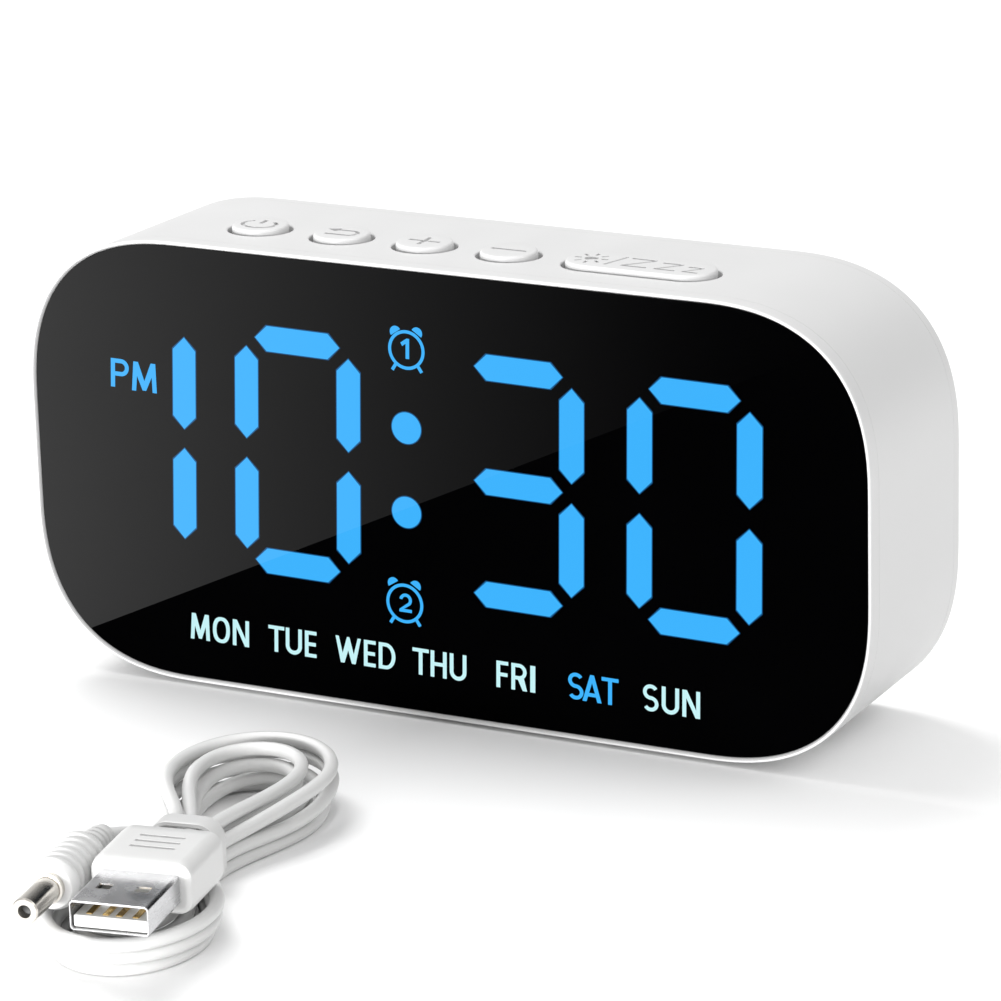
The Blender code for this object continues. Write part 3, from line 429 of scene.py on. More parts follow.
# ---------------------------------------------------------------- camera, light and floor

CAMERA_AZIMUTH, CAMERA_ELEVATION, CAMERA_ROLL = 27.525, 17.575, -1.554
CAMERA_PLACE, CAMERA_LENS = (0.35304, -0.67303, 0.27304), 176.65


def make_camera():
    """The photograph's viewpoint."""
    azimuth, elevation, roll = (math.radians(a) for a in (CAMERA_AZIMUTH, CAMERA_ELEVATION, CAMERA_ROLL))
    forward = Vector((-math.sin(azimuth) * math.cos(elevation), math.cos(azimuth) * math.cos(elevation),
                      -math.sin(elevation)))
    right = Vector((math.cos(azimuth), math.sin(azimuth), 0))
    up = right.cross(forward)
    side = math.cos(roll) * right + math.sin(roll) * up
    above = -math.sin(roll) * right + math.cos(roll) * up
    data = bpy.data.cameras.new("camera")
    data.lens, data.sensor_width = CAMERA_LENS, 36.0
    data.clip_start, data.clip_end = 0.05, 20.0
    camera = new_object("camera", data)
    turn = Matrix((side, above, -forward)).transposed().to_4x4()
    camera.matrix_world = Matrix.Translation(CAMERA_PLACE) @ turn
    bpy.context.scene.camera = camera


def area_light(name, place, target, size, power):
    """A rectangular light aimed at a target, all in metres and watts."""
    data = bpy.data.lights.new(name, "AREA")
    data.shape = "RECTANGLE"
    data.size, data.size_y = size
    data.energy = power
    lamp = new_object(name, data)
    lamp.location = place
    lamp.rotation_euler = (Vector(target) - Vector(place)).to_track_quat("-Z", "Y").to_euler()


WORLD_LIGHT = 0.67
# Name, place, target, size and power of each light
LIGHTS = (("key_soft", (-0.5, 0.2, 1.0), (0, 0, 0), (0.7, 0.7), 9.6),
          ("front_soft", (-0.2, -1.5, 0.14), (0, 0, 0.03), (0.9, 0.22), 30.0),
          ("right_soft", (1.0, 0.05, 0.95), (0, 0, 0.03), (0.9, 0.7), 4.2))
FLOOR_REACH = 4000.0


def make_studio():
    """A pale floor, soft light from all round, and a dark card that only reflections see."""
    scene = bpy.context.scene
    scene.view_settings.view_transform = "Standard"
    world = bpy.data.worlds.new("studio")
    scene.world = world
    world.use_nodes = True
    world.node_tree.nodes["Background"].inputs["Color"].default_value = (1, 1, 1, 1)
    world.node_tree.nodes["Background"].inputs["Strength"].default_value = WORLD_LIGHT
    for name, place, target, size, power in LIGHTS:
        area_light(name, place, target, size, power)

    bm = bmesh.new()
    bmesh.ops.create_grid(bm, x_segments=8, y_segments=8, size=FLOOR_REACH)
    floor = from_bmesh("floor", bm, tidy=False)
    white = surface("floor_white", (0.935, 0.935, 0.935), 0.6, grain=2.0, bump=0.05, tint=0.003)
    floor.data.materials.append(white)
    make_card()


CARD_Y, CARD_REACH_X, CARD_LOW, CARD_HIGH = -20.3, 110, -20, 110
CARD_SLANT = ((-67.79, 6.17), (64.47, 67.83))       # (x, z) of the two ends of the glare's lower edge
GLARE, GLARE_LENGTH, GLARE_END = 0.79, 128.0, 65.0   # strength, and the X stretch over which it fades out


def make_card():
    """A black card close in front of the window, seen by reflections only. It covers what is below a slant
    and thins out above it, which leaves the soft glare at the upper left."""
    (x1, z1), (x2, z2) = CARD_SLANT
    bm = bmesh.new()
    corners = [(-CARD_REACH_X, CARD_LOW), (CARD_REACH_X, CARD_LOW), (CARD_REACH_X, CARD_HIGH),
               (-CARD_REACH_X, CARD_HIGH)]
    bm.faces.new([bm.verts.new((x, CARD_Y, z)) for x, z in corners])
    card = from_bmesh("reflection_card", bm, tidy=False)
    material = bpy.data.materials.new("card_black")
    material.use_nodes = True
    tree = material.node_tree
    new, link = tree.nodes.new, tree.links.new
    tree.nodes.remove(tree.nodes["Principled BSDF"])
    place, split = new("ShaderNodeTexCoord"), new("ShaderNodeSeparateXYZ")
    link(place.outputs["Object"], split.inputs[0])

    def math_node(operation, a, b):
        made = new("ShaderNodeMath")
        made.operation = operation
        for socket, value in zip(made.inputs, (a, b)):
            if isinstance(value, (int, float)):
                socket.default_value = value
            else:
                link(value, socket)
        return made.outputs[0]

    slope = (z2 - z1) / (x2 - x1)
    height = math_node("MULTIPLY_ADD", split.outputs["X"], slope)
    height.node.inputs[2].default_value = (z1 - slope * x1) * MM
    below = math_node("LESS_THAN", split.outputs["Z"], height)
    ramp = math_node("MULTIPLY_ADD", split.outputs["X"], -GLARE / (GLARE_LENGTH * MM))
    ramp.node.inputs[2].default_value = GLARE * GLARE_END / GLARE_LENGTH
    clearness = math_node("POWER", math_node("MAXIMUM", ramp, 0.0), 2.0)
    share = math_node("MAXIMUM", below, math_node("SUBTRACT", 1.0, clearness))
    mix, clear = new("ShaderNodeMixShader"), new("ShaderNodeBsdfTransparent")
    black = new("ShaderNodeEmission")
    black.inputs["Strength"].default_value = 0.0
    link(share, mix.inputs[0])
    link(clear.outputs[0], mix.inputs[1])
    link(black.outputs[0], mix.inputs[2])
    link(mix.outputs[0], tree.nodes["Material Output"].inputs["Surface"])
    card.data.materials.append(material)
    card.visible_camera = card.visible_diffuse = card.visible_transmission = False
    card.visible_volume_scatter = card.visible_shadow = False


# ---------------------------------------------------------------- power lead

CABLE_FRAME = at(-3.0, -91.5, 0, turned(-80, "Z"))
CORD = 2.2
TIE_X = 2.5
FAR_END, NEAR_END = -39.9, 39.9
# Places of the strands in the bundle: inset of the loop, distance from the middle at the tie, height
STRANDS = [(0.0, 3.3, 5.5), (0.7, 3.3, 3.3), (1.5, 3.3, 1.1),
           (4.2, 1.1, 1.1), (4.9, 1.1, 3.3), (5.6, 1.1, 5.5)]
TURNS = len(STRANDS)
PLUG_STRAND, USB_STRAND = (0.4, 2.4, 7.9), (4.6, 2.1, 7.9)
LOOP_RADIUS = {-1: 12.9, 1: 12.4}
LOOP_LENGTHENING = 1.25         # length of a loop's round end for each millimetre of its radius
SLANT_LENGTH = 1.07             # path along a slanting strand for each millimetre along the bundle
WAVE, WAVE_RATE = 0.32, 7.1     # sideways wave that keeps the strands from lying too evenly
PASS_STEPS = 90
BARREL_AXIS, USB_AXIS = (-8.8, 11.15), (3.6, 10.95)      # (y, z) of the plugs' middle lines
PLUG_ROUTE = [(13.8, *BARREL_AXIS), (12.0, -8.75, 11.1), (8.4, -6.2, 9.8), (4.6, -2.9, 8.2)]
USB_ROUTE = [(4.4, 2.0, 8.1), (8.2, 2.8, 9.6), (11.9, 3.6, 10.9), (13.6, *USB_AXIS)]


def loop_pass(side, before, after, window, phase):
    """One run from the tie round a loop and back to the tie, changing place in the bundle on the way."""
    points = []
    for i in range(PASS_STEPS):
        share = i / PASS_STEPS
        t = min(1.0, max(0.0, (share - window[0]) / (window[1] - window[0])))
        t = t * t * (3 - 2 * t)
        inset, waist, height = (a + (b - a) * t for a, b in zip(before, after))
        calm = math.sin(math.pi * share) ** 2
        inset += WAVE * calm * math.sin(WAVE_RATE * share + phase)
        radius = LOOP_RADIUS[side] - inset
        end = (FAR_END if side < 0 else NEAR_END) - side * inset
        reach = LOOP_LENGTHENING * radius
        centre = end - side * reach
        rise = abs(centre - TIE_X)
        run = rise * SLANT_LENGTH
        whole = 2 * (run + 0.5 * math.pi * (reach + radius) / 2)
        along = share * whole
        back = along > whole / 2
        along = min(along, whole - along)
        if along < run:
            u = along / run
            x = TIE_X + side * rise * u
            y = waist + (radius - waist) * (1 - math.cos(math.pi * u)) / 2
        else:
            angle = math.pi / 2 * (along - run) / (whole / 2 - run)
            x = centre + side * reach * math.sin(angle)
            y = radius * math.cos(angle)
        points.append(Vector((x, side * y if not back else -side * y, height)))
    return points


def resampled(points, spacing):
    """Points evenly spaced along a line."""
    lengths = [0.0]
    for a, b in zip(points, points[1:]):
        lengths.append(lengths[-1] + (b - a).length)
    count = round(lengths[-1] / spacing)
    made, i = [], 0
    for step in range(count + 1):
        want = min(lengths[-1], lengths[-1] * step / count)
        while i < len(points) - 2 and lengths[i + 1] < want:
            i += 1
        share = (want - lengths[i]) / max(1e-9, lengths[i + 1] - lengths[i])
        made.append(points[i].lerp(points[i + 1], share))
    return made


def cord_route():
    """The whole lead: from the barrel plug through the tie, round its turns, and out to the other plug."""
    places = [PLUG_STRAND] + STRANDS + [USB_STRAND]
    points = [Vector(p) for p in PLUG_ROUTE]
    for turn in range(TURNS + 1):
        start = 0.08 + (TURNS - turn) * 0.11
        points += loop_pass(-1, places[turn], places[turn + 1], (start, start + 0.2), 1.7 * turn)
        if turn < TURNS:
            points += loop_pass(1, places[turn + 1], places[turn + 1], (0, 1), 0.9 + 2.3 * turn)
    points += [Vector(p) for p in USB_ROUTE]
    points = resampled(points, 1.1)
    for _ in range(14):
        inner = [(a + 2 * b + c) / 4 for a, b, c in zip(points, points[1:], points[2:])]
        points = [points[0]] + inner + [points[-1]]
    return resampled(points, 1.2)


def rounded_band(name, half_y, low, high, corner, sections):
    """A strap round a bundle: sections (x, grow) of a rounded rectangle in the YZ plane."""
    middle, half_z = (low + high) / 2, (high - low) / 2
    rings = []
    for x, grow in sections:
        loop = rounded_rectangle(0, middle, half_y + grow, half_z + grow, corner + grow, 10)
        rings.append([(x, y, z) for y, z in loop])
    return loft(name, rings, closed=True)


def make_barrel_plug():
    """The barrel plug: body with grip rings and bend relief, metal sleeve, and dark core."""
    profile = [(0, 21.0), (3.0, 21.0), (3.35, 20.9), (3.6, 20.6)]
    z = 20.0
    for _ in range(5):
        profile += [(3.82, z), (3.95, z - 0.25), (3.95, z - 0.95), (3.82, z - 1.2), (3.6, z - 1.35),
                    (3.6, z - 1.65)]
        z -= 1.9
    profile += [(4.1, 10.2), (4.15, 9.6), (3.95, 8.9), (3.3, 8.3), (2.75, 8.0)]
    z = 7.6
    for i in range(4):
        radius = 2.75 - 0.2 * i
        profile += [(radius, z), (radius, z - 0.8), (radius - 0.55, z - 0.95), (radius - 0.55, z - 1.45)]
        z -= 1.65
    profile += [(1.85, 0.9), (1.7, 0.25), (1.45, 0.0), (0, 0.0)]
    y, axis_z = BARREL_AXIS
    turn = turned(90, "Y")
    body = move(lathe("plug", profile, 48), CABLE_FRAME @ at(13, y, axis_z, turn))
    body = piece(body, "plug_body", "power_cable", "plug_white", ["barrel_plug"])
    body_end = CABLE_FRAME @ at(34.0, y, axis_z, turn)
    sleeve = [(0.85, 2.2), (0.85, 9.1), (1.0, 9.5), (1.8, 9.5), (2.0, 9.25), (2.0, 1.0), (2.3, 0.9),
              (2.3, 0.0), (0.85, 0.0)]
    tip = move(lathe("tip", sleeve, 40), body_end)
    tip = piece(tip, "plug_sleeve", "power_cable", "nickel", ["barrel_tip"])
    core = lathe("core", [(0, 0.2), (0.84, 0.2), (0.84, 8.2), (0, 7.9)], 24)
    core = piece(move(core, body_end), "plug_core", "power_cable", "black_plastic")
    return [body, tip, core]


def make_usb_plug():
    """The USB plug: body with grip bars, metal case with its windows, tongue and four gold strips."""
    y0, z0 = USB_AXIS
    sections = [(12.4, 1.55, 1.55, 1.5), (12.7, 1.75, 1.75, 1.7), (15.4, 2.3, 2.15, 2.0),
                (16.0, 2.6, 2.3, 2.0), (16.3, 5.6, 3.0, 1.8), (16.6, 6.9, 3.5, 2.0), (17.3, 7.7, 3.95, 2.1),
                (19.0, 7.8, 4.0, 2.1), (28.8, 7.8, 4.0, 2.1), (29.9, 7.6, 3.85, 2.1), (30.3, 7.2, 3.5, 1.9),
                (30.4, 6.8, 3.1, 1.7)]

    def ring(x, half_y, half_z, radius, steps):
        return [(x, y, z) for y, z in rounded_rectangle(y0, z0, half_y, half_z, radius, steps)]

    body = loft("usb", [ring(*section, 8) for section in sections])
    grips = [block("grip", (x, -3.5 + y0, z), (x + 0.8, 3.5 + y0, z + 1.4), 0.35)
             for x in (20.5, 22.6, 24.7) for z in (z0 + 3.65, z0 - 5.05)]
    cut(body, join("grips", grips))
    body = piece(move(body, CABLE_FRAME), "usb_body", "power_cable", "plug_white", ["usb_plug"])

    sections = [(30.4, 6.0, 2.25, 0.6), (42.55, 6.0, 2.25, 0.6), (42.7, 5.92, 2.17, 0.55),
                (42.7, 5.75, 2.0, 0.45), (30.4, 5.7, 1.95, 0.4)]
    shell = loft("shell", [ring(*section, 5) for section in sections], closed=True)
    holes = [block("hole", (35.6, y0 + side * 2.9 - 1.1, z0 - 4), (37.6, y0 + side * 2.9 + 1.1, z0 + 4), 0.2)
             for side in (-1, 1)]
    cut(shell, join("holes", holes))
    shell = piece(move(shell, CABLE_FRAME), "usb_case", "power_cable", "steel", ["usb_shell"])
    tongue = block("tongue", (30.4, y0 - 5.6, z0 - 1.9), (42.2, y0 + 5.6, z0 - 0.1), 0.3)
    tongue = piece(move(tongue, CABLE_FRAME), "usb_tongue", "power_cable", "port_white")
    strips = [block("strip", (33.0, y0 + y - 0.5, z0 - 0.15), (41.4, y0 + y + 0.5, z0 + 0.05), 0.15)
              for y in (-3.5, -1.0, 1.0, 3.5)]
    strips = piece(move(join("strips", strips), CABLE_FRAME), "usb_strips", "power_cable", "contact_gold")
    return [body, shell, tongue, strips]


def make_lead():
    """The tied power lead with its plugs."""
    route = cord_route()
    data = bpy.data.curves.new("lead", "CURVE")
    data.dimensions = "3D"
    data.bevel_depth = CORD / 2 * MM
    data.bevel_resolution = 4
    data.use_fill_caps = True
    spline = data.splines.new("POLY")
    spline.points.add(len(route) - 1)
    places = [(CABLE_FRAME @ p) * MM for p in route]
    for point, place in zip(spline.points, places):
        point.co = (*place, 1.0)
    spline.use_smooth = True
    cord = new_object("lead_cord", data)
    cord.data.materials.append(MATERIALS["cable_white"])
    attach(cord, "power_cable")
    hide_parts("cable_hank", "plug_lead", "usb_lead")
    sections = [(TIE_X - 2.0, 0.35), (TIE_X - 1.8, 0.75), (TIE_X - 1.5, 0.9), (TIE_X + 1.5, 0.9),
                (TIE_X + 1.8, 0.75), (TIE_X + 2.0, 0.35), (TIE_X + 1.7, 0.0), (TIE_X - 1.7, 0.0)]
    tie = rounded_band("tie", 4.7, 0.9, 9.55, 2.4, sections)
    tie = piece(move(tie, CABLE_FRAME), "lead_tie", "power_cable", "plug_white", ["cable_tie"])
    ends = make_barrel_plug() + make_usb_plug()


# ---------------------------------------------------------------- housing

def make_front_ring():
    """The white ring: edge curving in towards the front, thin lip, ledge, and skirt into the sleeve."""
    ledge_back, skirt_back = 3.0, 6.2
    sections = [(RING_BACK - d, inset) for d, inset in SEAM_EDGE] + [(2.9, 0.0)]
    sections += [(EDGE_DEPTH * forward, EDGE_SLOPE + (EDGE_INSET - EDGE_SLOPE) * side)
                 for forward, side in quarter_round(1.0, 14)]
    sections += [(0.012, LIP - 0.02), (0.04, LIP), (LENS_FRONT, RIM), (LEDGE_FRONT, RIM),
                 (LEDGE_FRONT, LEDGE_INSET), (ledge_back, LEDGE_INSET), (ledge_back, SKIRT_INSIDE),
                 (skirt_back, SKIRT_INSIDE), (skirt_back, SKIRT_OUTSIDE), (3.2, SKIRT_OUTSIDE)]
    piece(housing_loft("ring", sections, closed=True), "front_ring", "housing", "white_abs", ["front_frame"])


def make_window():
    """The mirror-black window with softened edges."""
    inset = RIM + 0.05
    sections = [(LENS_BACK, inset), (LENS_FRONT + 0.12, inset), (LENS_FRONT + 0.035, inset + 0.035),
                (LENS_FRONT, inset + 0.12)]
    piece(housing_loft("window", sections), "window", "housing", "lens_black", ["front_lens"])


KEY_DEPTH = 14.2
KEY_Y, KEY_PLANE = front(KEY_DEPTH), TOP_Z - TOP_FALL * KEY_DEPTH
KEY_HOLE, KEY_RADIUS, KEY_PROUD, KEY_EDGE = 5.35, 4.65, 0.9, 0.45
FLANGE_HIGH, FLANGE_LOW, FLANGE_EXTRA = -2.5, -3.5, 0.9     # levels below the top at the keys, and reach
STEM_RADIUS, STEM_LOW = 2.0, -5.04
MARK_WIDTH, MARK_DEPTH = 0.7, 0.38
ROUND_KEYS = (("power", -38.3), ("back", -23.2), ("plus", -8.1), ("minus", 7.0))
LONG_KEY_X, LONG_KEY_LENGTH = 30.2, 26.9
FEET = [(x, d) for x in (-40.0, 40.0) for d in (8.0, 28.0)]
FOOT_HOLE, FOOT_POCKET = 4.3, 1.5


def make_sleeve():
    """The housing sleeve, with foot pockets and rounded key openings square to the sloping top."""
    sections = [(SLEEVE_FRONT + d, inset) for d, inset in SEAM_EDGE]
    sections += [(SLEEVE_BACK - d, inset) for d, inset in reversed(SEAM_EDGE)]
    sections += [(SLEEVE_BACK, WALL), (SLEEVE_FRONT, WALL)]
    sleeve = housing_loft("sleeve", sections, closed=True)
    edge = 0.3
    levels = [(edge, 1.0)] + [(edge - edge * math.sin(a), edge * math.cos(a) - edge)
                              for a in (math.pi / 12 * i for i in range(7))] + [(0.0, -4.0)]
    slope = turned(-math.degrees(math.atan(TOP_FALL)), "X")
    profile = [(0, 1.0)] + [(KEY_HOLE + grow, z) for grow, z in levels] + [(0, -4.0)]
    tools = [move(lathe("hole", profile, 72), at(x, KEY_Y, KEY_PLANE, slope)) for _, x in ROUND_KEYS]
    rings = [level_ring(stadium(LONG_KEY_LENGTH + 2 * grow, 2 * (KEY_HOLE + grow), 36), z)
             for grow, z in levels]
    tools.append(move(loft("slot", rings), at(LONG_KEY_X, KEY_Y, KEY_PLANE, slope)))
    pocket = [(0, -1), (FOOT_HOLE, -1), (FOOT_HOLE, FOOT_POCKET), (0, FOOT_POCKET)]
    tools += [move(lathe("pocket", pocket, 48), at(x, front(d), 0)) for x, d in FEET]
    cut(sleeve, join("holes", tools))
    piece(sleeve, "sleeve", "housing", "white_abs", ["main_shell"])


def make_feet():
    """The four rubber feet, each with a shallow ring underneath."""
    profile = [(0, 1.2), (3.7, 1.2), (4.0, 1.0), (4.0, 0.35), (3.9, 0.12), (3.65, 0.0), (3.3, 0.0),
               (3.1, 0.12), (0, 0.15)]
    for number, (x, d) in enumerate(FEET, start=1):
        foot = move(lathe("foot", profile, 48), at(x, front(d), 0))
        piece(foot, f"foot_{number}", "housing", "foot_rubber", [f"rubber_foot_{number}"])


# ---------------------------------------------------------------- keys

def letter_z(cx, cy, width, height, stroke):
    """The outline of a capital Z."""
    x0, x1, y0, y1 = cx - width / 2, cx + width / 2, cy - height / 2, cy + height / 2
    run = stroke * 1.35
    return [(x0, y0), (x1, y0), (x1, y0 + stroke), (x0 + run, y0 + stroke), (x1, y1 - stroke), (x1, y1),
            (x0, y1), (x0, y1 - stroke), (x1 - run, y1 - stroke), (x0, y0 + stroke)]


def key_marks(name):
    """Outlines of the marks sunk into a key's top, about its middle."""
    if name == "power":
        ring = [(x, 0.76 * y - 0.25) for x, y in arc(0, 0, 2.9, 128, 412, 36)]
        return [thick_line(ring, MARK_WIDTH), thick_line([(0, 0.1), (0, 2.45)], MARK_WIDTH)]
    if name == "back":
        shaft = [(-1.2, 1.2)] + arc(1.5, -0.15, 1.35, 90, -90, 20) + [(-2.3, -1.5)]
        return [thick_line(shaft, MARK_WIDTH), [(-1.0, 2.5), (-1.0, -0.1), (-3.1, 1.2)]]
    if name == "plus":
        strokes = ([(-2.8, 0), (-0.35, 0)], [(0.35, 0), (2.8, 0)], [(0, -2.3), (0, 2.3)])
        return [thick_line(stroke, MARK_WIDTH) for stroke in strokes]
    if name == "minus":
        return [thick_line([(-3.1, 0), (3.1, 0)], 0.75)]
    sun_x = -8.6
    rays = [thick_line([(sun_x + r * math.cos(a), r * math.sin(a)) for r in (1.7, 2.9)], 0.5)
            for a in (math.pi / 4 * i for i in range(8))]
    return rays + [circle(sun_x, 0, 1.15, 24), thick_line([(-5.2, -2.7), (-3.4, 2.7)], 0.5),
                   letter_z(-0.3, 0, 4.4, 5.0, 0.65), letter_z(5.0, -0.4, 3.6, 4.2, 0.6),
                   letter_z(9.3, -0.8, 2.7, 3.3, 0.55)]


def key_body(levels, long_key):
    """A key cap through levels (z, radius), round or long."""
    rings = []
    for z, radius in levels:
        if long_key:
            loop = stadium(LONG_KEY_LENGTH - 2 * KEY_HOLE + 2 * radius, 2 * radius, 36)
        else:
            loop = circle(0, 0, radius, 72)
        rings.append(level_ring(loop, z))
    return loft("key", rings)


def make_keys():
    """The five caps with a soft top edge and sunk marks, each on its own body."""
    flange = KEY_HOLE + FLANGE_EXTRA
    levels = [(FLANGE_LOW, flange), (FLANGE_HIGH, flange), (FLANGE_HIGH, KEY_RADIUS)]
    levels += [(KEY_PROUD - 0.06 - drop, KEY_RADIUS - inset) for drop, inset in quarter_round(KEY_EDGE, 7)]
    levels += [(KEY_PROUD - 0.02, KEY_RADIUS - 1.2), (KEY_PROUD, KEY_RADIUS - 2.2)]
    stem_top = FLANGE_LOW + 0.1
    stem = [(0, stem_top), (STEM_RADIUS, stem_top), (STEM_RADIUS, STEM_LOW), (0, STEM_LOW)]
    for name, x in ROUND_KEYS + (("snooze", LONG_KEY_X),):
        cap = key_body(levels, name == "snooze")
        cut(cap, *[prism("mark", loop, KEY_PROUD - MARK_DEPTH, KEY_PROUD + 0.6) for loop in key_marks(name)])
        cap = move(join("cap", [cap, lathe("stem", stem, 32)]), at(x, KEY_Y, KEY_PLANE))
        piece(cap, f"{name}_cap", f"{name}_key", "key_white", [f"{name}_button"], smooth=28)


# ---------------------------------------------------------------- rear

BAY_X, BAY_Z, BAY_HALF_X, BAY_HALF_Z, BAY_FLOOR, BAY_WALL = -22.0, 38.1, 26.2, 17.4, 22.9, 1.7
DOOR_HALF_X, DOOR_HALF_Z, DOOR_RECESS, DOOR_GAP = 29.0, 20.0, 34.0, 0.3
HINGE_Z = BAY_Z - DOOR_HALF_Z + 0.15
TABS = (BAY_X - 18.0, BAY_X + 18.0)
JACK_X, JACK_Z = 40.0, 19.0
BUZZER_X, BUZZER_Z, GRILLE_PITCH = 36.0, 50.0, 3.4
CELL_LENGTH, CELL_RADIUS, CELL_DEPTH, CELL_PITCH = 44.5, 5.15, 28.35, 11.2
POSTS = [(x, z) for x in (-58.0, 58.0) for z in (15.0, 61.0)]


def depth_block(name, x_range, depth_range, z_range, radius=0.3):
    """A block given by X range, depth range and Z range, rounded along its Y edges."""
    half_x, half_z = (x_range[1] - x_range[0]) / 2, (z_range[1] - z_range[0]) / 2
    loop = rounded_rectangle(sum(x_range) / 2, sum(z_range) / 2, half_x, half_z, radius, 6)
    return loft(name, [upright_ring(loop, depth) for depth in depth_range])


def flared_hole(name, radius, x, z, low, flare, steps):
    """A cutter along Y from a depth to past the back face, opening out at the back face."""
    profile = [(0, 1.0), (radius + flare, 1.0)]
    for i in range(6):
        a = math.pi / 2 * i / 5
        profile.append((radius + flare - flare * math.sin(a), -flare + flare * math.cos(a)))
    profile += [(radius, low - DEPTH), (0, low - DEPTH)]
    return lying_lathe(name, profile, x, z, DEPTH, steps)


def grille_points():
    """Centres of the sound holes."""
    points = []
    for row in range(-2, 3):
        count = 5 - abs(row)
        for column in range(count):
            points.append((BUZZER_X + (column - (count - 1) / 2) * GRILLE_PITCH,
                           BUZZER_Z + row * GRILLE_PITCH * math.sqrt(3) / 2))
    return points


def door_ring(depth, grow):
    """The battery door's outline at a depth, grown on all sides."""
    loop = rounded_rectangle(BAY_X, BAY_Z, DOOR_HALF_X + grow, DOOR_HALF_Z + grow, 3.0 + grow, 10)
    return upright_ring(loop, depth)


def make_rear_cover():
    """The rear cover: rounded plate, battery bay, door recess, sound holes, socket and screw openings."""
    sections = [(COVER_FRONT + d, inset) for d, inset in SEAM_EDGE]
    sections += [(DEPTH - forward, side) for forward, side in quarter_round(0.6, 8)]
    cover = housing_loft("cover", sections)
    bay_x, bay_z = (BAY_X - BAY_HALF_X, BAY_X + BAY_HALF_X), (BAY_Z - BAY_HALF_Z, BAY_Z + BAY_HALF_Z)
    tub = depth_block("tub", (bay_x[0] - BAY_WALL, bay_x[1] + BAY_WALL), (BAY_FLOOR - BAY_WALL, 34.2),
                      (bay_z[0] - BAY_WALL, bay_z[1] + BAY_WALL), 1.5)
    collar = depth_block("collar", (BAY_X - 31.8, BAY_X + 31.8), (32.2, 34.25),
                         (BAY_Z - 22.8, BAY_Z + 22.0), 1.5)
    skirt = [(30.5, SKIRT_OUTSIDE), (34.3, SKIRT_OUTSIDE), (34.3, SKIRT_INSIDE), (30.5, SKIRT_INSIDE)]
    skirt = housing_loft("skirt", skirt, closed=True)
    weld(cover, skirt, tub, collar)
    bay = depth_block("bay", bay_x, (BAY_FLOOR, DEPTH + 1), bay_z, 0.8)
    levels = ((DOOR_RECESS, 0), (DEPTH - 0.3, 0), (DEPTH - 0.12, 0.05), (DEPTH, 0.22), (DEPTH + 1, 0.22))
    recess = loft("recess", [door_ring(depth, DOOR_GAP + flare) for depth, flare in levels])
    slots = [depth_block("tab_slot", (x - 4.4, x + 4.4), (31.6, 34.4), (HINGE_Z - 2.0, HINGE_Z + 4.1), 0.4)
             for x in TABS]
    cut(cover, bay, recess, join("slots", slots))
    tools = [flared_hole("sound", 0.9, x, z, 33.0, 0.25, 28) for x, z in grille_points()]
    tools.append(flared_hole("socket", 3.8, JACK_X, JACK_Z, 30.0, 0.35, 56))
    sink = [(0, 1), (3.35, 1), (3.35, 0), (3.2, -0.2), (3.2, -1.45), (3.0, -1.5), (1.8, -1.5),
            (1.8, -3.5), (0, -3.5)]
    tools += [lying_lathe("sink", sink, x, z, DEPTH, 48) for x, z in POSTS]
    cut(cover, join("openings", tools))
    ribs = [depth_block("rib", (x - 2.5, x + 2.5), (BAY_FLOOR - 0.2, BAY_FLOOR + 2.0), (z - 0.5, z + 0.5))
            for z in (BAY_Z - CELL_PITCH / 2, BAY_Z + CELL_PITCH / 2) for x in (BAY_X - 14.0, BAY_X + 14.0)]
    piece(join("cover", [cover] + ribs), "back_cover", "housing", "white_abs", ["rear_cover"])


def make_back_screws():
    """The four cross-head screws of the rear cover, each stopped at its own angle."""
    profile = [(0, 0.06), (1.4, 0.03), (2.2, -0.06), (2.6, -0.18), (2.8, -0.38), (2.8, -0.9), (1.3, -1.0),
               (1.3, -9.0), (0.3, -9.8), (0, -9.8)]
    wide, reach = 0.36, 1.55
    cross = [(wide, wide), (wide, reach), (-wide, reach), (-wide, wide), (-reach, wide), (-reach, -wide),
             (-wide, -wide), (-wide, -reach), (wide, -reach), (wide, -wide), (reach, -wide), (reach, wide)]
    for number, (x, z) in enumerate(POSTS, start=1):
        head = lathe("screw", profile, 40)
        rings = [[(px * s, py * s, pz) for px, py in cross] for pz, s in ((-1.5, 0.55), (0.4, 1.05))]
        cut(head, loft("cross", rings))
        move(head, at(x, front(DEPTH - 0.31), z, turned(-90, "X") @ turned(23 * number, "Z")))
        piece(head, f"back_screw_{number}", "housing", "steel", [f"rear_screw_{number}"])


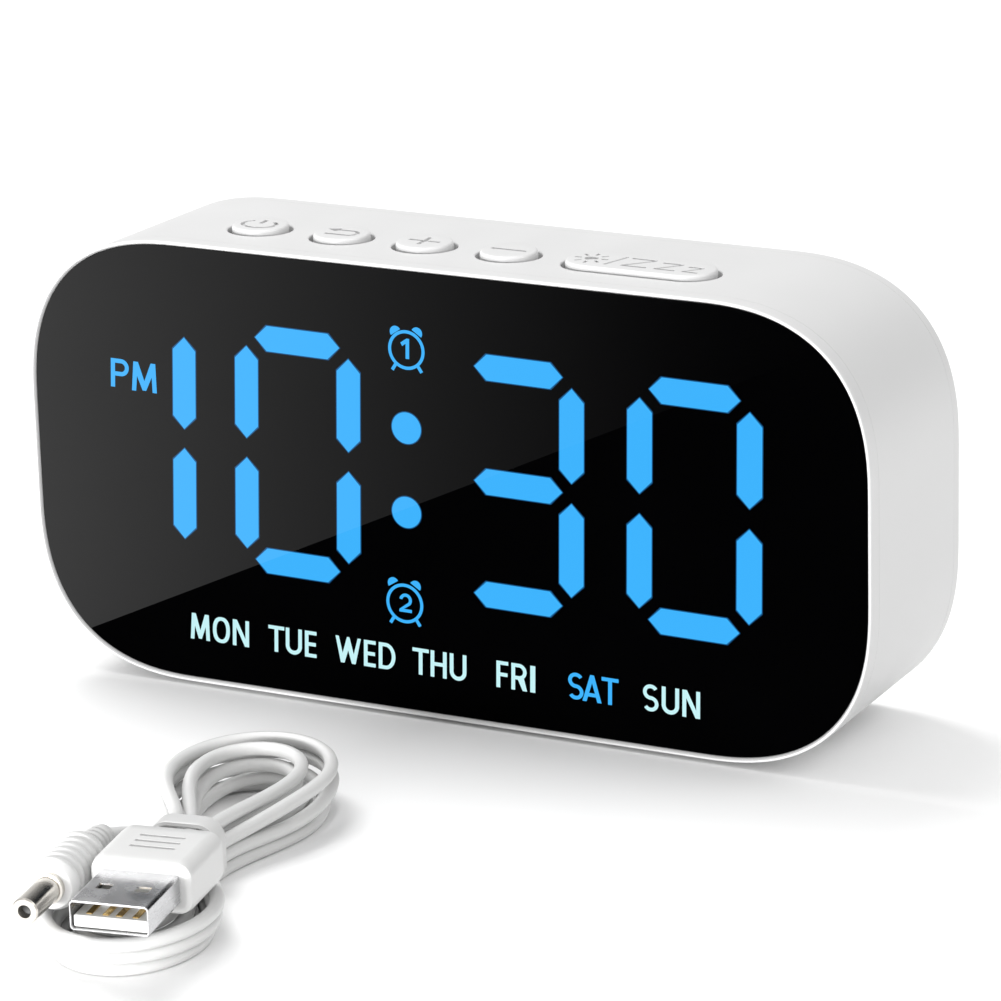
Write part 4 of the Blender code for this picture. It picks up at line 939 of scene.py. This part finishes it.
def make_door():
    """The battery door with its latch, finger grip and two hooked tabs."""
    sections = [(DEPTH - 1.7, -0.1), (DEPTH - 1.6, 0)] + [(DEPTH - f, -s) for f, s in quarter_round(0.35, 5)]
    door = loft("door", [door_ring(depth, grow) for depth, grow in sections])
    top, low = BAY_Z + DOOR_HALF_Z, BAY_Z - DOOR_HALF_Z
    parts = []
    for x in TABS:
        parts.append(depth_block("tab", (x - 4.0, x + 4.0), (32.4, 33.45), (HINGE_Z - 1.5, low + 1.8)))
        parts.append(depth_block("neck", (x - 3.95, x + 3.95), (33.0, DEPTH - 1.3), (low + 0.65, low + 1.75)))
    weld(door, *parts)
    slits = [depth_block("slit", (x - 0.5, x + 0.5), (DEPTH - 3, DEPTH + 1), (top - 9, top + 1), 0.45)
             for x in (BAY_X - 7.0, BAY_X + 7.0)]
    grips = []
    for z in (2.5, 4.5, 6.5):
        grip = move(prism("grip", stadium(9.0, 1.1, 10), 0.0, 2.0),
                    at(BAY_X, front(DEPTH - 0.6), top - z, turned(-90, "X")))
        grips.append(grip)
    arrow = prism("arrow", [(-2.0, 0.0), (2.0, 0.0), (0.0, 2.4)], 0.0, 2.0)
    move(arrow, at(BAY_X, front(DEPTH - 0.35), top - 10.0, turned(-90, "X")))
    cut(door, join("cuts", slits + grips), arrow)
    piece(door, "bay_door", "door", "white_abs", ["battery_door"])


def make_socket():
    """The power socket behind its hole, with its centre pin. Profiles run back from the middle depth."""
    middle = 30.0
    cup = [(0, -4.0), (2.15, -4.0), (2.15, 5.45), (2.4, 5.8), (3.3, 5.8), (3.5, 5.6),
           (3.5, 2.0), (3.5, -6.0), (0, -6.0)]
    nose = lying_lathe("cup", cup, JACK_X, JACK_Z, middle, 56)
    body = depth_block("body", (JACK_X - 4.5, JACK_X + 4.5), (22.5, 33.3), (JACK_Z - 4.4, JACK_Z + 4.4), 0.6)
    bore = lying_lathe("bore", [(0, -4.0), (2.14, -4.0), (2.14, 6), (0, 6)], JACK_X, JACK_Z, middle, 56)
    weld(body, nose)
    cut(body, bore)
    piece(body, "socket", "housing", "black_plastic", ["dc_jack"])
    pin = [(0, -4.5), (0.65, -4.5), (0.65, 4.35), (0.5, 4.65), (0.2, 4.8), (0, 4.8)]
    piece(lying_lathe("pin", pin, JACK_X, JACK_Z, middle, 24), "socket_pin", "housing", "nickel")


def make_cells():
    """Three backup cells: a shrink sleeve turned over at both ends, and bare metal ends."""
    half = CELL_LENGTH / 2
    sleeve = [(4.3, half - 1.05), (4.75, half - 1.0), (5.05, half - 1.15), (CELL_RADIUS, half - 1.5),
              (CELL_RADIUS, 0.7 - half), (5.05, 0.35 - half), (4.75, 0.2 - half), (4.3, 0.25 - half)]
    ends = [(0, half), (1.7, half), (1.9, half - 0.2), (1.9, half - 1.0), (2.4, half - 1.25),
            (4.5, half - 1.25), (4.9, half - 1.6), (4.9, 0.6 - half), (4.5, 0.15 - half),
            (3.6, 0.05 - half), (3.3, -half), (0, -half)]
    for number, side in enumerate((1, -1, 1), start=1):
        z = BAY_Z + (number - 2) * CELL_PITCH
        place = at(BAY_X + side * 2.6, front(CELL_DEPTH), z, turned(side * 90, "Y"))
        piece(move(lathe("sleeve", sleeve, 56), place), f"cell_sleeve_{number}", "housing", "cell_wrap",
              [f"backup_cell_{number}"])
        piece(move(lathe("ends", ends, 56), place), f"cell_ends_{number}", "housing", "nickel")


# ---------------------------------------------------------------- lit signs
#
# Signs are drawn upright in (u, w), measured from the middle of the front. They sit a little out of square on
# the window: level lines fall to the right, and upright lines lean by an amount that lessens to the right.

SIGN_FRONT, SIGN_BACK = LENS_FRONT - 0.045, LENS_FRONT + 0.2
DIGIT_FALL, WORD_FALL = 0.0140, 0.0102
DIGIT_MID, DOT_STEP, DOT_U = 3.74, 7.05, -5.41
BAR_SIDE, BAR_STEP = 9.39, 9.42
BAR_LENGTH, BAR_TIP, BAR_WIDTH, DOT_RADIUS = 15.5, 2.15, 4.22, 2.6
GLOW_FRINGE_GROW = 0.16                # how far the painted glow, a dim blue fringe of light round each bar, reaches past it
# The bars of a digit by their usual letters: steps to the right and up from its middle. UPRIGHT lists those
# that stand upright.
BARS = {"a": (0, 2), "b": (1, 1), "c": (1, -1), "d": (0, -2), "e": (-1, -1), "f": (-1, 1), "g": (0, 0)}
UPRIGHT = "bcef"
DIGITS = ((-55.8, "bc"), (-25.33, "abcdef"), (14.52, "abcdg"), (45.08, "abcdef"))


def lean(u):
    """Sideways shift of an upright line for each millimetre of height."""
    return 0.032 - 0.000294 * u


def on_window(points, fall):
    """Points (u, w) at their x and z on the window."""
    return [(u + w * lean(u), MID_Z + w - fall * u) for u, w in points]


def bar_outline(u, w, upright, grow):
    """A bar with pointed ends about (u, w), grown on all sides."""
    long, half = BAR_LENGTH / 2 + grow * 1.2, BAR_WIDTH / 2 + grow
    flat = long - BAR_TIP
    corners = [(long, 0), (flat, half), (-flat, half), (-long, 0), (-flat, -half), (flat, -half)]
    if upright:
        corners = [(-b, a) for a, b in corners]
    return on_window([(u + a, w + b) for a, b in corners], DIGIT_FALL)


def lit_outlines(grow):
    """The bars of the four digits and the two dots between them."""
    loops = []
    for middle, bars in DIGITS:
        for bar in bars:
            right, up = BARS[bar]
            u, w = middle + right * BAR_SIDE, DIGIT_MID + up * BAR_STEP
            loops.append(bar_outline(u, w, bar in UPRIGHT, grow))
    for up in (1, -1):
        centre = on_window([(DOT_U, DIGIT_MID + up * DOT_STEP)], DIGIT_FALL)[0]
        loops.append(circle(*centre, DOT_RADIUS + grow))
    return loops


def sign_solids(name, outlines, front_depth):
    """Thin closed plates, one for each outline, just proud of the window."""
    return join(name, [plate(name, [loop], front_depth, SIGN_BACK) for loop in outlines])


LETTER_WIDTHS = {"M": 3.64, "O": 3.2, "N": 3.05, "T": 2.95, "U": 3.0, "E": 2.15, "W": 4.66, "D": 3.05,
                 "H": 2.9, "F": 2.1, "R": 2.8, "I": 0.88, "S": 2.68, "A": 3.35}
LETTER_GAP, CLOSE_PAIRS = 0.58, {"TU": 0.3, "TH": 0.35, "SA": -0.15, "AT": 0.02}
WEEKDAY_BASE, WEEKDAY_HEIGHT, WEEKDAY_STEM = -30.55, 4.5, 0.66
WEEKDAYS = (("MON", -46.83), ("TUE", -32.1), ("WED", -19.56), ("THU", -5.4), ("FRI", 9.8), ("SUN", 35.75))
TODAY = ("SAT", 22.6)
HALF_DAY_STEM = 0.78


def oval(cx, cy, half_x, half_y, power=2.4, steps=44):
    """Points around an ellipse with somewhat squarer shoulders."""
    points = []
    for i in range(steps):
        c, s = math.cos(2 * math.pi * i / steps), math.sin(2 * math.pi * i / steps)
        points.append((cx + half_x * math.copysign(abs(c) ** (2 / power), c),
                       cy + half_y * math.copysign(abs(s) ** (2 / power), s)))
    return points


def mirrored(points, width):
    """Points flipped left to right in a box, in reverse order."""
    return [(width - x, y) for x, y in reversed(points)]


def glyph(letter, w, h, s):
    """Outlines of a capital or numeral in a box w by h with stems s wide. All after the first are holes."""
    t = 0.92 * s
    m, c = (h - t) / 2, w / 2
    if letter == "I":
        return [[(0, 0), (w, 0), (w, h), (0, h)]]
    if letter == "T":
        return [[(c - s / 2, 0), (c + s / 2, 0), (c + s / 2, h - t), (w, h - t), (w, h), (0, h), (0, h - t),
                 (c - s / 2, h - t)]]
    if letter == "H":
        return [[(0, 0), (s, 0), (s, m), (w - s, m), (w - s, 0), (w, 0), (w, h), (w - s, h), (w - s, m + t),
                 (s, m + t), (s, h), (0, h)]]
    if letter in "EF":
        arm = w - 0.06 * w
        foot = [(0, 0), (w, 0), (w, t), (s, t)] if letter == "E" else [(0, 0), (s, 0)]
        return [foot + [(s, m), (arm, m), (arm, m + t), (s, m + t), (s, h - t), (w, h - t), (w, h), (0, h)]]
    if letter == "N":
        d = 1.15 * s
        return [[(0, 0), (s, 0), (s, h * (1 - s / (w - d))), (w - d, 0), (w, 0), (w, h), (w - s, h),
                 (w - s, h * s / (w - d)), (d, h), (0, h)]]
    if letter == "M":
        e = 0.06 * w
        left = [(0, 0), (s, 0), (s + 0.6 * e, 0.53 * h), (c - 0.42 * s, 0.04 * h)]
        top = [(w - e, h), (w - e - 1.1 * s, h), (c, 0.36 * h), (e + 1.1 * s, h), (e, h)]
        return [left + mirrored(left, w) + top]
    if letter == "W":
        v = 0.28 * w
        left = [(v + 0.5 * s, 0), (v - 0.5 * s, 0), (0, h), (0.88 * s, h), (v, 0.36 * h), (c - 0.33 * s, h)]
        return [[(c, 0.5 * h)] + left + mirrored(left, w)]
    if letter == "A":
        leg, rise = 1.08 * s, (c - 0.5 * s) / h
        low, high = 0.19 * h, 0.19 * h + t
        left = [(0, 0), (leg, 0), (leg + rise * low, low)]
        tip = [(c + 0.5 * s, h), (c - 0.5 * s, h)]
        hole = [(leg + rise * high, high), (w - leg - rise * high, high), (c, (c - leg) / rise)]
        return [left + mirrored(left, w) + tip, hole]
    if letter == "O":
        return [oval(c, h / 2, c, h / 2), oval(c, h / 2, c - s, h / 2 - t, 2.2)]
    if letter == "D":
        x, r = 0.42 * w, 0.58 * w
        bow = [(x + r * a, h / 2 + h / 2 * b) for a, b in arc(0, 0, 1, -90, 90, 20)]
        gap = [(x + (r - s) * a, h / 2 + (h / 2 - t) * b) for a, b in arc(0, 0, 1, -90, 90, 20)]
        return [[(0, 0)] + bow + [(0, h)], [(s, t)] + gap + [(s, h - t)]]
    if letter in "PR":
        low = 0.4 * h
        r = (h - low) / 2
        x = w - r - (0.1 if letter == "R" else 0)
        base = [(0, 0), (s, 0), (s, low)]
        if letter == "R":
            base += [(0.42 * w, low), (w - 1.15 * s, 0), (w, 0)]
        bow = arc(x, h - r, r, -50 if letter == "R" else -90, 90, 18)
        return [base + bow + [(0, h)], [(s, low + t)] + arc(x, h - r, r - t, -90, 90, 16) + [(s, h - t)]]
    if letter == "U":
        outside, inside = arc(c, c, c, 180, 360, 26), arc(c, c, c - s, 360, 180, 26)
        return [[(0, h)] + outside + [(w, h), (w - s, h)] + inside + [(s, h)]]
    if letter == "S":
        r = (h - t) / 4
        spine = arc(0, h - t / 2 - r, r, 32, 270, 26) + arc(0, t / 2 + r, r, 90, -148, 26)[1:]
        return [thick_line([(c + x * (c - t / 2) / r, y) for x, y in spine], t)]
    if letter == "1":
        return [[(w - s, 0), (w, 0), (w, h), (w - 0.8 * s, h), (0, h - 0.75), (0.32, h - 1.3),
                 (w - s, h - 0.85)]]
    outside, inside = arc(c, h - c, c, 172, -42, 22), arc(c, h - c, c - s, -42, 172, 18)
    return [outside + [(1.55 * s, s), (w, s), (w, 0), (0, 0), (0, 0.85 * s)] + inside]


def letter_plate(letter, left, base, width, height, stem):
    """One letter as a lit plate. Its left edge and base line are given on the window, from the middle."""
    loops = []
    for loop in glyph(letter, width, height, stem):
        loops.append([(left + a + b * lean(left), MID_Z + base + b - WORD_FALL * (left + a))
                      for a, b in loop])
    return plate("letter", loops, SIGN_FRONT, SIGN_BACK)


def weekday(name, left):
    """The letters of a short weekday name on the common base line."""
    shapes = []
    for i, letter in enumerate(name):
        width = LETTER_WIDTHS[letter]
        shapes.append(letter_plate(letter, left, WEEKDAY_BASE, width, WEEKDAY_HEIGHT, WEEKDAY_STEM))
        left += width
        left += CLOSE_PAIRS.get(name[i:i + 2], LETTER_GAP)
    return shapes


def bell_clock(cx, cz, radius, bells):
    """A small bell clock about (cx, cz): ring, two bells and two feet."""
    mid = MID_Z + cz
    icon = [[circle(cx, mid, radius, 56), circle(cx, mid, radius - 0.52, 56)]]
    for bx, bz in bells:
        direction = Vector((bx - cx, bz - cz)).normalized()
        across = Vector((-direction.y, direction.x))
        centre = Vector((bx, MID_Z + bz)) - direction * 0.45
        icon.append([[tuple(centre + across * math.cos(a) + direction * 1.05 * math.sin(a))
                      for a in (math.pi * i / 12 for i in range(13))]])
    for side in (-1, 1):
        hip = Vector((cx + side * radius * 0.62, mid - radius * 0.78))
        icon.append([thick_line([hip, hip + Vector((side * 0.62, -0.95))], 0.55)])
    return [plate("icon", loops, SIGN_FRONT, SIGN_BACK) for loops in icon]


def make_signs():
    """Everything that shines through the window."""
    # Painted glow: a slightly larger dim blue plate behind each bar stands for the light spreading past its
    # edges
    edges = sign_solids("edge", lit_outlines(GLOW_FRINGE_GROW), LENS_FRONT - 0.02)
    digits = sign_solids("digits", lit_outlines(0.0), SIGN_FRONT)
    icons = bell_clock(-4.6, 23.8, 3.25, ((-6.69, 26.93), (-2.45, 27.05)))
    icons += bell_clock(-6.4, -18.7, 3.35, ((-8.59, -15.16), (-4.15, -15.25)))
    icons.append(letter_plate("1", -5.70, 22.30, 1.55, 3.33, 0.62))
    icons.append(letter_plate("2", -7.42, -20.24, 2.25, 3.17, 0.52))
    half_day = [letter_plate("P", -59.8, 11.2, 3.4, 4.85, HALF_DAY_STEM),
                letter_plate("M", -55.8, 11.0, 4.7, 4.95, HALF_DAY_STEM)]
    shapes = [shape for name, left in WEEKDAYS for shape in weekday(name, left)]
    for item, name, finish in ((edges, "sign_glow_fringe", "lit_edge"), (digits, "digit_signs", "lit_blue"),
                               (join("icons", icons), "alarm_signs", "lit_blue"),
                               (join("pm", half_day), "half_day_sign", "lit_blue"),
                               (join("days", shapes), "weekday_signs", "lit_ice"),
                               (join("today", weekday(*TODAY)), "weekday_sign_today", "lit_blue")):
        piece(item, name, "housing", finish, weighted=False)
        item.visible_diffuse = False    # the signs glow, but do not tint the table


make_materials()
make_camera()
make_lead()
make_studio()
make_front_ring()
make_window()
make_sleeve()
make_feet()
make_keys()
make_rear_cover()
make_back_screws()
make_door()
make_socket()
make_cells()
make_signs()
